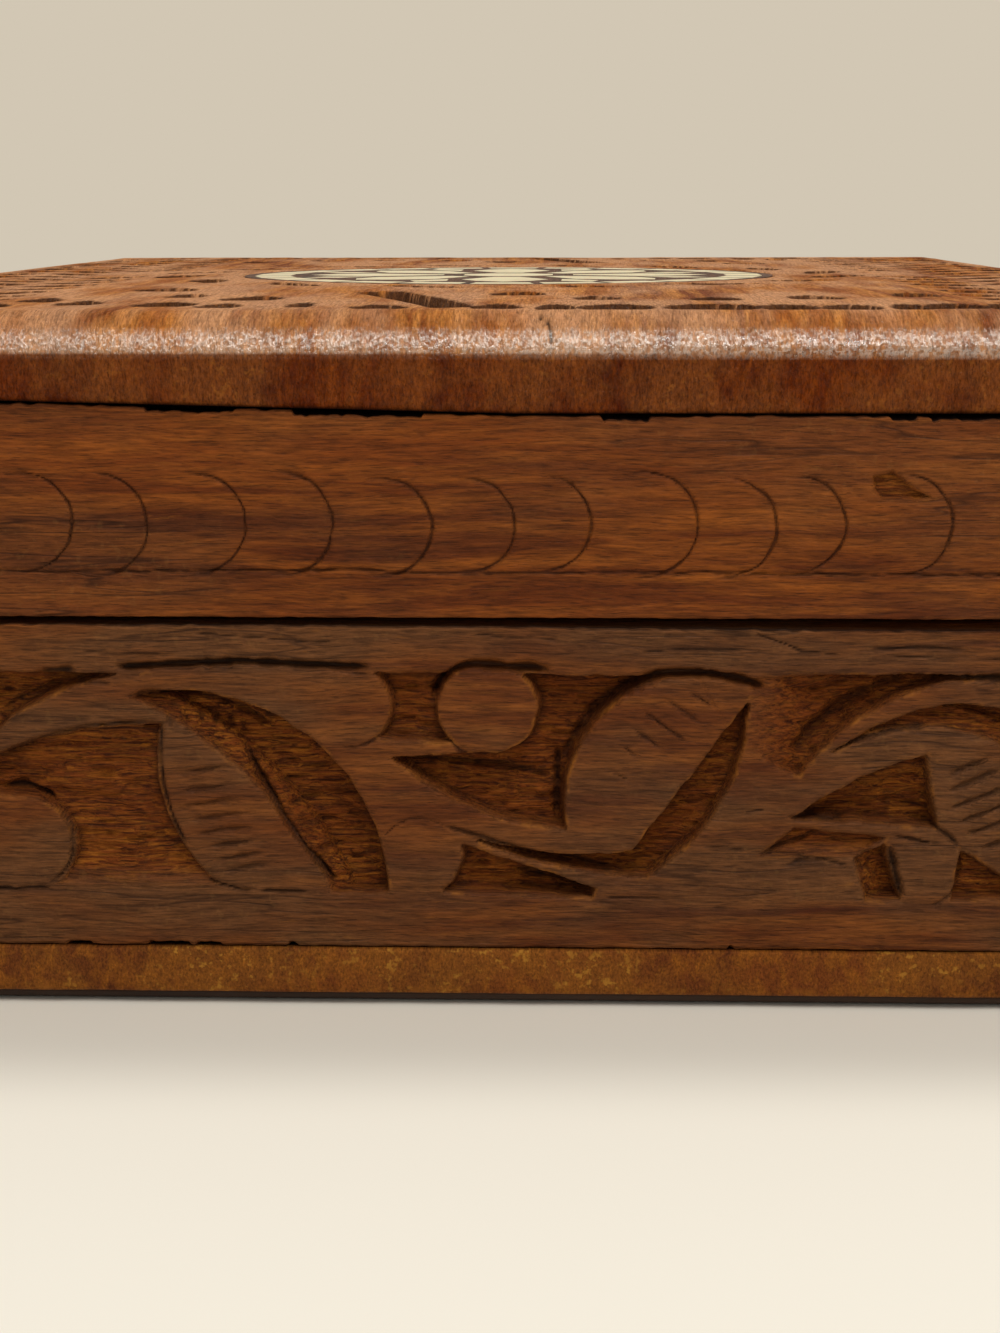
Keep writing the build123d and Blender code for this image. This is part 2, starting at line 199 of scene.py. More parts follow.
def wood(name, grain, tones, seed, patina_share, finer=1.0, roughness=(0.38, 0.62), specular=0.11,
         polished=False, pit_cells=(2600, 2600, 2600), pit_bump=0.00005, fleck_share=0.05, cracks=0.6,
         pore_dark=0.35):
    """Varnished wood. grain: how many times finer the figure is along X, Y and Z than along the grain."""
    shader = Shader(name)
    ramp, mix, times = shader.ramp, shader.mix, shader.times
    tone = {key: srgb(*value) for key, value in tones.items()}
    shader.wave(30.0, [0.0 if share == 1 else 0.0018 for share in grain], seed)

    def along_grain(per_metre, detail, rough, shift, distortion=0.0):
        return shader.noise([per_metre * share for share in grain], detail, rough, seed + shift, distortion)

    broad = along_grain(9.0, 3.0, 0.55, 0.0)
    bands = along_grain(42.0 * finer, 4.0, 0.6, 3.1, 0.6)
    fibres = along_grain(300.0 * finer, 4.0, 0.7, 5.7, 0.3)
    threads = along_grain(190.0 * finer, 5.0, 0.75, 7.9, 0.8)
    pores = along_grain(620.0 * finer, 1.0, 0.5, 8.9)
    blotches = shader.noise([32 if share == 1 else 110 for share in grain], 3.0, 0.6, seed + 11.3)
    crumbs = shader.noise((420, 420, 420), 3.0, 0.65, seed + 13.7)
    flecks = shader.noise((1300, 1300, 1300), 2.0, 0.6, seed + 17.1)
    sunk = shader.attribute("sunk")

    def covered(colour, *layers):
        for share, layer in layers:
            colour = mix(share, colour, tone[layer])
        return colour

    worn = times(ramp(blotches, 0.4, 0.58), patina_share)
    colour = covered(tone["dark"], (ramp(broad, 0.36, 0.64), "middle"), (ramp(bands, 0.42, 0.7), "light"))
    colour = mix(1.0, covered(colour, (worn, "patina")), ramp(fibres, 0.34, 0.66, 0.56, 1.36), "MULTIPLY")
    colour = covered(colour, (ramp(threads, 0.58, 0.72, 0.0, 0.3), "gold"))

    # The rougher ground where the relief is sunk
    golden = times(ramp(threads, 0.47, 0.68), ramp(blotches, 0.36, 0.6, 0.25, 0.9))
    crumbled = ramp(crumbs, 0.56, 0.7, 0.0, 0.5)
    ground = covered(tone["ground_dark"], (ramp(fibres, 0.38, 0.6), "ground"), (golden, "ground_gold"),
                     (crumbled, "ground_dark"))
    colour = mix(times(sunk, 0.92), colour, ground)

    pore_share = ramp(pores, 0.6, 0.7, 0.0, pore_dark)
    from_line = shader.math("ABSOLUTE", shader.math("SUBTRACT", along_grain(34.0, 2.0, 0.5, 23.3), 0.5))
    cracked = times(ramp(from_line, 0.0, 0.022, cracks, 0.0), ramp(blotches, 0.46, 0.58))
    rim = times(shader.attribute("arris"), ramp(crumbs, 0.5, 0.64, 0.04, 0.8))
    fleck = times(ramp(flecks, 0.58, 0.68), ramp(blotches, 0.45, 0.6, 0.0, fleck_share))
    colour = covered(colour, (pore_share, "pore"), (cracked, "pore"), (rim, "gold"))
    # Painted shade: the side-shade mark darkens the top board's upright sides, which turn away from the
    # light.
    colour = mix(shader.attribute("painted_side_shade"), colour, srgb(158, 120, 74), "MULTIPLY")
    # Painted shade: blends towards near black in joints, under the top board, at cut walls' feet and in knife
    # lines.
    colour = mix(shader.attribute("painted_shade"), covered(colour, (fleck, "fleck")), srgb(20, 8, 4))

    gloss = ramp(fibres, 0.3, 0.7, roughness[1], roughness[0])
    gloss = shader.math("ADD", gloss, times(sunk, 0.12))
    shader.set(Base_Color=colour, Roughness=gloss, IOR=1.5, Specular_IOR_Level=specular)

    height = shader.math("SUBTRACT", fibres, times(shader.math("MAXIMUM", pore_share, cracked), 0.8))
    rough_floor = times(shader.math("ADD", fibres, crumbs), times(sunk, 1.6))
    normal = shader.bump(shader.math("ADD", height, rough_floor), fibre_bump)
    pits = shader.noise(pit_cells, 1.0, 0.45, seed + 1.9)
    normal = shader.bump(pits, pit_bump, normal)
    shader.set(Normal=normal)
    if polished:
        whole = ramp(pits, 0.42, 0.54, 0.25, 1.0)
        shader.set(Coat_Weight=times(shader.attribute("polish"), whole), Coat_Roughness=0.11, Coat_IOR=3.2)
        shader.set(Coat_Normal=normal)
    return shader.material


def inlay_material():
    """Cream polished inlay with fine darker streaks."""
    shader = Shader("pale_inlay")
    streaks = shader.noise((900, 160, 900), 3.0, 0.6, 2.2)
    clouds = shader.noise((120, 120, 120), 3.0, 0.55, 6.1)
    colour = shader.mix(shader.ramp(clouds, 0.35, 0.65), srgb(222, 203, 150), srgb(234, 219, 172))
    colour = shader.mix(shader.ramp(streaks, 0.56, 0.7, 0.0, 0.35), colour, srgb(178, 146, 98))
    shader.set(Base_Color=colour, Roughness=shader.ramp(clouds, 0.3, 0.7, 0.28, 0.42), IOR=1.5)
    shader.set(Coat_Weight=0.3, Coat_Roughness=0.15, Subsurface_Weight=0.08, Subsurface_Scale=0.002)
    shader.set(Normal=shader.bump(streaks, streak_bump))
    return shader.material


def brass_material():
    """Aged brass: dull brown-gold with darker tarnish and fine scratches along the hinge."""
    shader = Shader("aged_brass")
    tarnish = shader.noise((260, 260, 260), 4.0, 0.62, 3.3)
    scratches = shader.noise((2600, 90, 2600), 2.0, 0.6, 7.4)
    colour = shader.mix(shader.ramp(tarnish, 0.38, 0.66), srgb(168, 136, 82), srgb(96, 74, 44))
    shader.set(Base_Color=colour, Roughness=shader.ramp(tarnish, 0.3, 0.7, 0.26, 0.5))
    shader.set(Metallic=1.0, IOR=1.45, Normal=shader.bump(scratches, scratch_bump))
    return shader.material


def cloth_material(name, deep, pale, sheen, sheen_tint, cell):
    """Short-pile cloth: a fine nap, soft patches where the pile leans, and sheen."""
    shader = Shader(name)
    nap = shader.noise((cell, cell, cell), 3.0, 0.7, 1.3)
    lean = shader.noise((38, 52, 45), 3.0, 0.55, 4.6)
    colour = shader.mix(shader.ramp(lean, 0.35, 0.65), srgb(*deep), srgb(*pale))
    colour = shader.mix(1.0, colour, shader.ramp(nap, 0.25, 0.75, 0.66, 1.2), "MULTIPLY")
    shader.set(Base_Color=colour, Roughness=shader.ramp(nap, 0.3, 0.7, 0.8, 0.98))
    shader.set(Sheen_Weight=sheen, Sheen_Roughness=0.4, Sheen_Tint=srgb(*sheen_tint))
    shader.set(Normal=shader.bump(nap, nap_bump))
    return shader.material


# Numeric helpers for the carved surfaces

def noise_field(u, v, cell_u, cell_v, seed):
    """Smooth noise from -1 to 1 with cells of the given size in millimetres."""
    table = np.random.default_rng(seed).uniform(-1, 1, (256, 256))
    x = np.asarray(u) / cell_u
    y = np.asarray(v) / cell_v
    i = np.floor(x).astype(int)
    j = np.floor(y).astype(int)
    fx = x - i
    fy = y - j
    fx = fx * fx * (3 - 2 * fx)
    fy = fy * fy * (3 - 2 * fy)
    a = table[i % 256, j % 256] * (1 - fx) + table[(i + 1) % 256, j % 256] * fx
    b = table[i % 256, (j + 1) % 256] * (1 - fx) + table[(i + 1) % 256, (j + 1) % 256] * fx
    return a * (1 - fy) + b * fy


def noise_line(along, cell, seed):
    """Smooth noise from -1 to 1 along a line."""
    return noise_field(along, 0 * along, cell, 1.0, seed)


def smooth(value, low, high):
    """0 below low, 1 above high and a soft step between. It falls where high is the lower one."""
    t = np.clip((value - low) / (high - low), 0, 1)
    return t * t * (3 - 2 * t)


def spread(*spans):
    """Grid lines over spans of (start, end, step)."""
    lines = []
    for start, end, step in spans:
        count = max(1, round((end - start) / step))
        lines += [start + (end - start) * n / count for n in range(count)]
    return np.array(lines + [spans[-1][1]])


def arc_points(start, middle, end, count):
    """Points on the circle through three points, without the last one."""
    (ax, ay), (bx, by), (cx, cy) = start, middle, end
    twice = 2 * (ax * (by - cy) + bx * (cy - ay) + cx * (ay - by))
    sa, sb, sc = ax * ax + ay * ay, bx * bx + by * by, cx * cx + cy * cy
    ux = (sa * (by - cy) + sb * (cy - ay) + sc * (ay - by)) / twice
    uy = (sa * (cx - bx) + sb * (ax - cx) + sc * (bx - ax)) / twice
    radius = math.hypot(ax - ux, ay - uy)
    first = math.atan2(ay - uy, ax - ux)
    turn = (math.atan2(cy - uy, cx - ux) - first) % (2 * math.pi)
    if (math.atan2(by - uy, bx - ux) - first) % (2 * math.pi) > turn:
        turn -= 2 * math.pi
    angles = [first + turn * n / count for n in range(count)]
    return [(ux + radius * math.cos(a), uy + radius * math.sin(a)) for a in angles]


def runs_of(path):
    """Runs of a path. A place in square brackets is one that an arc passes, and the others are ends."""
    runs = []
    start = path[0]
    passed = []
    for place in path[1:]:
        if isinstance(place, list):
            passed = place
        else:
            runs.append([start, *passed, place])
            start = place
            passed = []
    return runs


def line_points(runs, step=0.5):
    """Points along runs of two points, which are straight, or three, which are arcs."""
    points = []
    for run in runs:
        reach = math.dist(run[0], run[1]) + (math.dist(run[1], run[2]) if len(run) == 3 else 0)
        count = max(2, int(reach / step))
        if len(run) == 3:
            points += arc_points(*run, count)
        else:
            (x0, y0), (x1, y1) = run
            points += [(x0 + (x1 - x0) * n / count, y0 + (y1 - y0) * n / count) for n in range(count)]
    return np.array(points + [runs[-1][-1]])


def nearest_on(points, u, v, closed=False):
    """Distance to a line of points, the nearest place on it, how far along it is, and what lies inside."""
    best = np.full(u.shape, 1e9)
    near_u = np.zeros(u.shape)
    near_v = np.zeros(u.shape)
    along = np.zeros(u.shape)
    inside = np.zeros(u.shape, bool)
    walked = 0.0
    for (ax, ay), (bx, by) in zip(points[:-1], points[1:]):
        ex = bx - ax
        ey = by - ay
        length = math.hypot(ex, ey)
        if length < 1e-9:
            continue
        t = np.clip(((u - ax) * ex + (v - ay) * ey) / length ** 2, 0, 1)
        qu = ax + t * ex
        qv = ay + t * ey
        gap = (u - qu) ** 2 + (v - qv) ** 2
        closer = gap < best
        best = np.where(closer, gap, best)
        near_u = np.where(closer, qu, near_u)
        near_v = np.where(closer, qv, near_v)
        along = np.where(closer, walked + t * length, along)
        walked += length
        if closed and abs(ey) > 1e-12:
            crossed = ((ay > v) != (by > v)) & (u < (v - ay) * ex / ey + ax)
            inside ^= crossed
    return np.sqrt(best), near_u, near_v, along, walked, inside


# Cells of the noise that ripples an outline, how far from it the marks of a cut reach, and the widths of its
# light rim, its dark foot of painted shade and the worn edge beside it
ripple_cell = 1.3
chip_cell = 0.5
cut_reach = 1.4
rim_width = 0.11
foot_width = 0.28
wear_width = 0.25
# How near to a line, in cells of the grid, a place is moved onto it
snap_cells = 0.46


class Relief:
    """A grid of places on a face, with the depth cut there and the marks that the wood material reads."""

    def __init__(self, us, vs):
        self.us = us
        self.vs = vs
        self.u, self.v = np.meshgrid(us, vs, indexing="ij")
        self.depth, self.sunk, self.arris, self.painted_shade = np.zeros((4, *self.u.shape))
        self.cell_u = np.gradient(us)[:, None]
        self.cell_v = np.gradient(vs)[None, :]

    def part_near(self, points, reach):
        """The part of the grid near some points, and its places before any was moved, or None."""
        low = points.min(0) - reach
        high = points.max(0) + reach
        i0, i1 = np.searchsorted(self.us, (low[0], high[0]))
        j0, j1 = np.searchsorted(self.vs, (low[1], high[1]))
        if i1 - i0 < 2 or j1 - j0 < 2:
            return None
        return (slice(i0, i1), slice(j0, j1)), *np.meshgrid(self.us[i0:i1], self.vs[j0:j1], indexing="ij")

    def mark(self, name, part, values):
        """Raises the depth or a mark to the values, where they are higher."""
        layer = getattr(self, name)
        layer[part] = np.maximum(layer[part], values)

    def cut(self, runs, depth, seed, wall=0.42, limits=None, tilt=None, ledge=None, ripple=0.12, grain=0.28):
        """Sinks the ground inside an outline, with a steep wall of the given run."""
        points = line_points(runs)
        wave = noise_field(*points.T, ripple_cell, ripple_cell, seed)
        other = noise_field(*points.T, ripple_cell, ripple_cell, seed + 500)
        chip = noise_field(*points.T, chip_cell, chip_cell, seed + 700)
        points = points + ripple * np.stack([wave + 0.4 * chip, other - 0.4 * chip], 1)
        points[-1] = points[0]
        found = self.part_near(points, cut_reach)
        if found is None:
            return
        part, u, v = found
        gap, near_u, near_v, _, _, inside = nearest_on(points, u, v, True)
        signed = np.where(inside, gap, -gap)
        free = np.ones(u.shape, bool)
        if limits is not None:
            edge = np.minimum(limits[0] - np.abs(u), np.minimum(v - limits[1], limits[2] - v))
            free = edge > signed
            signed = np.minimum(signed, edge)
        cell = np.minimum(self.cell_u[part[0]], self.cell_v[:, part[1]])
        for level in (0.0, wall):
            snap = free & (np.abs(signed - level) < snap_cells * cell) & (gap > 1e-6)
            share = np.where(snap, (level - signed) / np.where(gap > 1e-6, gap, 1), 0)
            share = np.where(inside, -share, share)
            self.u[part] += (near_u - u) * share
            self.v[part] += (near_v - v) * share
            signed = np.where(snap, level, signed)
        amount = np.full(u.shape, float(depth))
        if tilt is not None:
            axis, start, start_share, end, end_share = tilt
            where = u if axis == "u" else v
            amount *= start_share + (end_share - start_share) * smooth(where, start, end)
        if ledge is not None:
            from_ledge = nearest_on(line_points(ledge), u, v)[0]
            step_down = smooth(from_ledge, ledge_width, ledge_width + ledge_slope)
            slope = ledge_share + 0.3 * np.clip(from_ledge / ledge_width, 0, 1)
            amount *= slope * (1 - step_down) + step_down
        texture = noise_field(u, v, 2.3, 0.5, seed + 7) + 0.6 * noise_field(u, v, 0.9, 0.33, seed + 9)
        texture = texture + 0.7 * noise_field(u, v, 4.2, 1.1, seed + 11)
        inward = np.clip(signed / wall, 0, 1)
        scoop = 0.9 + 0.1 * smooth(signed, wall, 4 * wall)
        strong = np.clip(amount / middle_cut, 0, 1)
        wanted = amount * inward * scoop + grain * texture * inward * strong
        deeper = (signed > 0) & (wanted > self.depth[part])
        self.depth[part] = np.where(deeper, wanted, self.depth[part])
        self.mark("sunk", part, smooth(signed, 0.0, wall * 0.8) * np.clip(amount / shallow_cut, 0, 1))
        self.mark("arris", part, np.exp(-((signed + 0.05) / rim_width) ** 2) * strong)
        # Painted shade in a dark band along the foot of the cut's wall.
        self.mark("painted_shade", part, 0.34 * np.exp(-((signed - wall) / foot_width) ** 2) * strong * (signed > 0))
        self.mark("depth", part, 0.1 * np.exp(np.minimum(signed, 0) / wear_width) * (signed <= 0))

    def stroke(self, runs, half_width, depth, seed, dark=0.5, taper=1.2, ripple=0.05):
        """Draws a V-shaped knife line that fades in and out, with painted shade along it."""
        points = line_points(runs)
        points = points + ripple * np.stack([noise_field(*points.T, 1.1, 1.1, seed + n) for n in (0, 40)], 1)
        found = self.part_near(points, half_width + 0.3)
        if found is None:
            return
        part, u, v = found
        gap, _, _, along, length, _ = nearest_on(points, u, v)
        reach = min(taper, length / 2)
        fade = smooth(np.minimum(along, length - along), -0.25 * reach, reach)
        uneven = 1 + 0.35 * noise_line(along, 1.7, seed + 80)
        uneven = uneven + 0.25 * noise_line(along, 0.6, seed + 81)
        shape = np.clip(1 - gap / (half_width * np.clip(uneven, 0.5, 1.5)), 0, 1) * fade
        self.depth[part] += depth * shape
        # Painted shade inside the knife line, as strong as its darkness.
        self.mark("painted_shade", part, dark * smooth(shape, 0.1, 0.8))


# The vine: depth and path of each sunk ground between stems, leaves and buds, across from the middle and up
# from the foot of the field
vine_unit = {
    "crescent": (deep_cut, [
        (31.6, 13.9), [(45.5, 18.3)], (60.0, 0.3), (55.0, 0.3), [(46.5, 14.6)], (31.6, 13.9),
    ]),
    "bud_left": (middle_cut, [
        (-9.8, 15.0), [(-8.2, 18.2)], (-10.2, 21.2), (-2.2, 21.2), [(-3.9, 17.8)], (-2.2, 14.5), (-9.8, 15.0),
    ]),
    "upper_wedge": (deep_cut, [
        (-8.3, 13.3), (0.2, 13.8), [(5.0, 17.7)], (3.2, 21.2), (16.0, 20.8), [(9.2, 15.0)], (7.7, 6.5),
        [(-0.4, 8.3)], (-8.3, 13.3),
    ]),
    "channel": (deep_cut, [
        (24.0, 19.0), (13.6, 4.6), [(5.6, 4.5)], (-2.4, 6.2), [(6.0, 3.2)], (15.0, 2.0), [(21.6, 9.0)],
        (24.0, 19.0),
    ]),
    "lower_wedge": (deep_cut, [
        (-1.9, 5.2), (10.4, 1.1), (10.2, 0.0), (-4.2, 0.5), [(-2.2, 2.6)], (-1.9, 5.2),
    ]),
    "stem_triangle": (deep_cut, [(28.1, 7.8), [(33.6, 11.4)], (40.0, 13.9), (41.2, 6.8), (28.1, 7.8)]),
    "step": (shallow_cut, [(24.6, 4.0), (28.3, 7.0), (36.8, 6.2), (34.0, 4.0), (24.6, 4.0)]),
    "bud_groove": (middle_cut, [(36.4, 5.7), (38.2, 0.0), (34.8, 0.0), (33.6, 4.2), (36.6, 5.6)]),
    "leaf_foot": (middle_cut, [(43.3, 5.0), (51.5, 0.0), (42.6, 0.0), (43.3, 5.0)]),
    "crest": (middle_cut, [
        (19.5, 21.1), (38.5, 21.1), (47.0, 20.9), [(36.6, 18.6)], (28.6, 11.6), [(24.4, 14.0)], (19.5, 21.1),
    ]),
}
front_crescent = (deep_cut, [
    (-32.4, 18.8), [(-15.2, 14.8)], (-8.6, 0.3), (-13.8, 0.3), [(-20.6, 10.6)], (-32.4, 18.8),
])
front_left_ground = (middle_cut, [
    (-28.8, 16.3), [(-28.6, 8.0)], (-23.4, 0.8), (-40.0, 0.8), [(-37.4, 5.2)], (-41.0, 9.2), (-50.0, 10.4),
    [(-40.2, 14.9)], (-28.8, 16.3),
])

# How the depth of some grounds changes across them: axis, place and share, place and share
ground_tilt = {
    "crest": ("u", 22.5, 0.0, 33.0, 1.4),
    "left_ground": ("v", 0.6, 0.12, 4.4, 0.9),
    "lower_wedge": ("u", -3.0, 0.7, 9.0, 1.1),
    "step": ("v", 4.4, 0.5, 6.4, 1.1),
    "bud_groove": ("u", 34.0, 0.5, 37.4, 1.35),
    "stem_triangle": ("v", 13.0, 0.75, 7.5, 1.1),
}
# The crescents keep a ledge along their inner side: its width, its share of the depth, and the step's width
ledge_width = 1.8
ledge_share = 0.3
ledge_slope = 0.35

# Knife lines of one unit: half width, depth, darkness of the painted shade in them, and path
unit_lines = {
    "bud_shadow": (0.55, 1.2, 0.75, [(-4.4, 18.6), [(-2.8, 21.2)], (0.6, 21.8), (6.2, 21.5)]),
    "lobe_foot": (0.2, 0.3, 0.5, [(-8.3, 17.1), [(-9.4, 15.2)], (-13.0, 14.4)]),
    "small_lobe_top": (0.16, 0.22, 0.4, [(-9.0, 5.6), [(-6.4, 7.5)], (-3.2, 6.7)]),
    "wedge_line": (0.4, 0.6, 0.6, [(-7.5, 12.9), (2.0, 12.1), (6.4, 11.0)]),
    "wedge_notch": (0.55, 0.9, 0.7, [(6.9, 14.0), (6.8, 7.0)]),
    "leaf_shadow": (0.7, 0.7, 0.6, [(7.3, 12.1), [(9.2, 16.2)], (16.0, 20.9)]),
    "leaf_top": (0.55, 1.5, 0.8, [(14.6, 20.8), [(20.5, 21.1)], (25.4, 19.8)]),
    "strip_top": (0.28, 0.5, 0.6, [(-3.4, 6.9), [(4.0, 4.6)], (12.3, 2.4)]),
    "wedge_end": (0.55, 0.9, 0.7, [(2.6, 2.4), (10.1, 0.6)]),
    "after_wedge": (0.2, 0.25, 0.5, [(11.0, 0.2), (17.0, 0.1)]),
    "ridge_shadow": (0.8, 0.8, 0.55, [(28.0, 13.4), [(32.2, 17.8)], (38.4, 20.8)]),
    "border_cut": (0.35, 0.9, 0.8, [(36.0, 20.9), (48.0, 20.9)]),
    "crescent_tip": (0.3, 0.6, 0.6, [(31.2, 13.8), [(35.5, 15.7)], (40.0, 16.3)]),
    "bud_cap": (0.25, 0.5, 0.7, [(37.0, 6.3), (41.4, 5.4)]),
    "bud_cap_end": (0.25, 0.45, 0.6, [(43.2, 5.0), [(41.2, 6.9)], (38.4, 7.2)]),
    "bud_side": (0.18, 0.3, 0.45, [(43.5, 4.6), [(43.1, 1.4)], (40.6, -0.5)]),
    "bud_side_groove": (0.35, 0.8, 0.8, [(36.9, 5.4), (38.2, 0.2)]),
    "triangle_foot": (0.3, 0.7, 0.8, [(27.6, 7.9), (33.2, 7.5)]),
    "step_line": (0.25, 0.5, 0.6, [(30.4, 6.7), (29.2, 5.8), (25.4, 4.5)]),
    "step_foot": (0.2, 0.35, 0.5, [(27.6, 3.4), [(30.6, 3.9)], (33.4, 3.2)]),
    "plateau_crack": (0.12, 0.25, 0.5, [(23.4, 8.3), (26.0, 8.7)]),
    "plateau_crack_low": (0.12, 0.25, 0.5, [(19.6, 5.2), (24.6, 4.7)]),
}
hatched_leaf = [
    ((12.4, 14.6), (14.2, 13.4)), ((13.4, 16.2), (16.4, 14.1)), ((14.2, 17.9), (18.4, 14.9)),
    ((16.4, 18.9), (19.8, 16.6)), ((18.4, 19.6), (21.0, 18.0)), ((11.6, 12.0), (13.6, 11.2)),
]
veined_leaf = [
    ((41.9, 11.9), (45.6, 13.6)), ((41.8, 10.3), (46.6, 12.5)), ((42.0, 8.7), (47.2, 10.8)),
    ((42.8, 7.4), (47.8, 9.4)), ((43.6, 6.3), (48.2, 8.0)), ((45.0, 5.0), (49.0, 6.2)),
]

# Lines that only the photographed end has
front_lines = {
    "lobe_top": (0.45, 1.1, 0.9, [(-33.0, 21.5), (-22.0, 22.1), (-10.0, 21.6)]),
    "crescent_line": (0.35, 0.9, 0.75, [(-21.6, 14.2), [(-17.9, 7.4)], (-13.4, 1.2)]),
    "crescent_brow": (0.5, 0.7, 0.6, [(-31.6, 18.9), [(-24.6, 18.4)], (-19.2, 15.6)]),
    "leaf_rim": (0.2, 0.5, 0.8, [(-28.8, 16.6), [(-28.8, 10.0)], (-27.0, 4.9)]),
    "leaf_foot_line": (0.2, 0.4, 0.8, [(-25.5, 1.7), (-22.2, 0.7), (-15.8, 0.5)]),
    "stem_low": (0.3, 0.5, 0.6, [(-44.0, 13.2), [(-37.0, 15.7)], (-29.0, 16.4)]),
    "stem_split": (0.2, 0.35, 0.5, [(-44.0, 17.0), [(-39.6, 19.4)], (-33.0, 19.9)]),
    "lobe_gap": (0.45, 1.0, 0.9, [(-44.0, 9.9), [(-40.4, 9.7)], (-39.0, 8.6)]),
    "lobe_side": (0.2, 0.5, 0.6, [(-39.0, 8.4), [(-37.5, 5.0)], (-39.8, 1.2)]),
    "lobe_foot": (0.25, 0.5, 0.8, [(-46.0, 0.6), (-39.6, 0.7)]),
    "dark_spot": (0.5, 0.8, 0.8, [(-40.0, 21.0), (-36.4, 21.3)]),
    "border_crack": (0.17, 0.25, 0.7, [(14.0, 23.1), (18.0, 23.4), (23.6, 23.3)]),
    "border_crack_high": (0.18, 0.25, 0.7, [(24.0, 25.5), (28.4, 23.3), (32.5, 22.9)]),
    "border_crack_right": (0.2, 0.3, 0.8, [(34.3, 23.4), (38.7, 23.7), (43.5, 23.4)]),
    "border_crack_middle": (0.15, 0.2, 0.5, [(1.8, 24.7), (7.3, 24.3)]),
    "border_crack_left": (0.17, 0.22, 0.6, [(-25.8, 24.9), (-18.4, 24.2), (-12.9, 23.9)]),
    "border_crack_centre": (0.15, 0.2, 0.55, [(-1.4, 25.0), (3.0, 24.4)]),
    "border_crack_end": (0.16, 0.25, 0.6, [(36.0, 22.8), (47.0, 22.6)]),
    "border_crack_short": (0.15, 0.25, 0.6, [(-36.0, 23.0), (-27.0, 22.7)]),
    "splinter": (0.18, 0.4, 0.5, [(-12.6, 21.2), (-9.8, 21.0)]),
}
# Short cuts across the bank of the photographed crescent
crescent_notches = [
    ((-28.4, 17.4), (-28.0, 15.7)), ((-27.1, 17.6), (-26.6, 15.9)), ((-25.8, 17.5), (-25.3, 15.9)),
    ((-24.5, 17.4), (-24.1, 15.6)), ((-23.2, 17.0), (-22.9, 15.2)), ((-21.9, 16.5), (-21.9, 14.9)),
    ((-19.4, 12.2), (-16.6, 12.6)), ((-18.9, 10.6), (-15.4, 11.0)), ((-18.0, 8.6), (-14.6, 9.2)),
    ((-17.2, 6.6), (-13.4, 6.9)), ((-15.6, 4.4), (-12.6, 4.6)),
]
gouged_leaf_heights = (11.6, 9.9, 8.5, 7.2, 5.9, 4.6, 3.4, 2.4)
# Knife line round the small disc beside the wedge
disc_middle = (0.6, 17.6)
disc_radius = 4.4
disc_angles = (-2.6, -1.5, -0.4)


def rim_of_gouged_leaf(height):
    """How far left the gouged leaf reaches at a height above the foot of the field."""
    return -28.4 + 0.052 * max(0.0, 11.0 - height) ** 2


def vine_runs(path, across=0.0):
    """Runs of a path of the vine at its place on the wall."""
    return [[(x + across, z + field_foot) for x, z in run] for run in runs_of(path)]


def carve_vine(relief, half_run, placed, seed):
    limits = (half_run - end_border, field_foot - 0.1, field_top + 0.1)
    for number, (name, (depth, path), shift) in enumerate(placed):
        runs = vine_runs(path, shift)
        tilt = ground_tilt.get(name)
        if tilt is not None:
            offset = shift if tilt[0] == "u" else field_foot
            tilt = (tilt[0], tilt[1] + offset, tilt[2], tilt[3] + offset, tilt[4])
        ledge = [runs[2]] if name == "crescent" else None
        relief.cut(runs, depth, seed + 13 * number, limits=limits, tilt=tilt, ledge=ledge)


def draw_unit_lines(relief, half_run, shift, seed, keep=(-math.inf, math.inf)):
    """Draws the lines of the unit at a shift whose middles lie in the span to keep."""
    drawn = list(unit_lines.values())
    drawn += [(0.24, 0.3, 0.5, path) for path in hatched_leaf]
    drawn += [(0.42, 0.5, 0.45, path) for path in veined_leaf]
    for number, (half_line, depth, dark, path) in enumerate(drawn):
        runs = vine_runs(path, shift)
        xs = [x for run in runs for x, _ in run]
        if max(abs(x) for x in xs) <= half_run - end_border and keep[0] <= sum(xs) / len(xs) <= keep[1]:
            relief.stroke(runs, half_line, depth, seed + number, dark)


def photographed_relief(relief):
    placed = [(name, cut, 0.0) for name, cut in vine_unit.items()]
    placed += [("crescent", front_crescent, 0.0), ("left_ground", front_left_ground, 0.0)]
    for name in ("upper_wedge", "channel", "lower_wedge", "crest"):
        placed.append((name, vine_unit[name], -front_vine_shift))
    for name in ("bud_left", "upper_wedge", "channel", "lower_wedge"):
        placed.append((name, vine_unit[name], vine_period))
    carve_vine(relief, wall_x, placed, 100)
    draw_unit_lines(relief, wall_x, 0.0, 300)
    draw_unit_lines(relief, wall_x, -front_vine_shift, 400, (-70.0, -46.0))
    for number, (half_line, depth, dark, path) in enumerate(front_lines.values()):
        relief.stroke(vine_runs(path), half_line, depth, 500 + number, dark)
    for number, height in enumerate(gouged_leaf_heights):
        left = rim_of_gouged_leaf(height) + 0.5
        reach = 6.4 - 0.35 * abs(number - 3)
        path = [(left, height), (left + reach, height + 0.9)]
        relief.stroke(vine_runs(path), 0.38, 0.4, 540 + number, 0.45, 2.2)
    for number, path in enumerate(crescent_notches):
        relief.stroke(vine_runs(path), 0.34, 0.4, 580 + number, 0.5, 0.9)
    x, z = disc_middle
    ring = [(x + disc_radius * math.cos(a), z + field_foot + disc_radius * math.sin(a)) for a in disc_angles]
    relief.stroke([ring], 0.18, 0.28, 560, 0.4)


def running_relief(relief, half_run, seed):
    count = math.ceil(half_run / vine_period)
    units = range(-count, count + 1)
    placed = [(name, cut, unit * vine_period) for unit in units for name, cut in vine_unit.items()]
    carve_vine(relief, half_run, placed, seed)
    for unit in units:
        draw_unit_lines(relief, half_run, unit * vine_period, seed + 200 + 40 * unit)


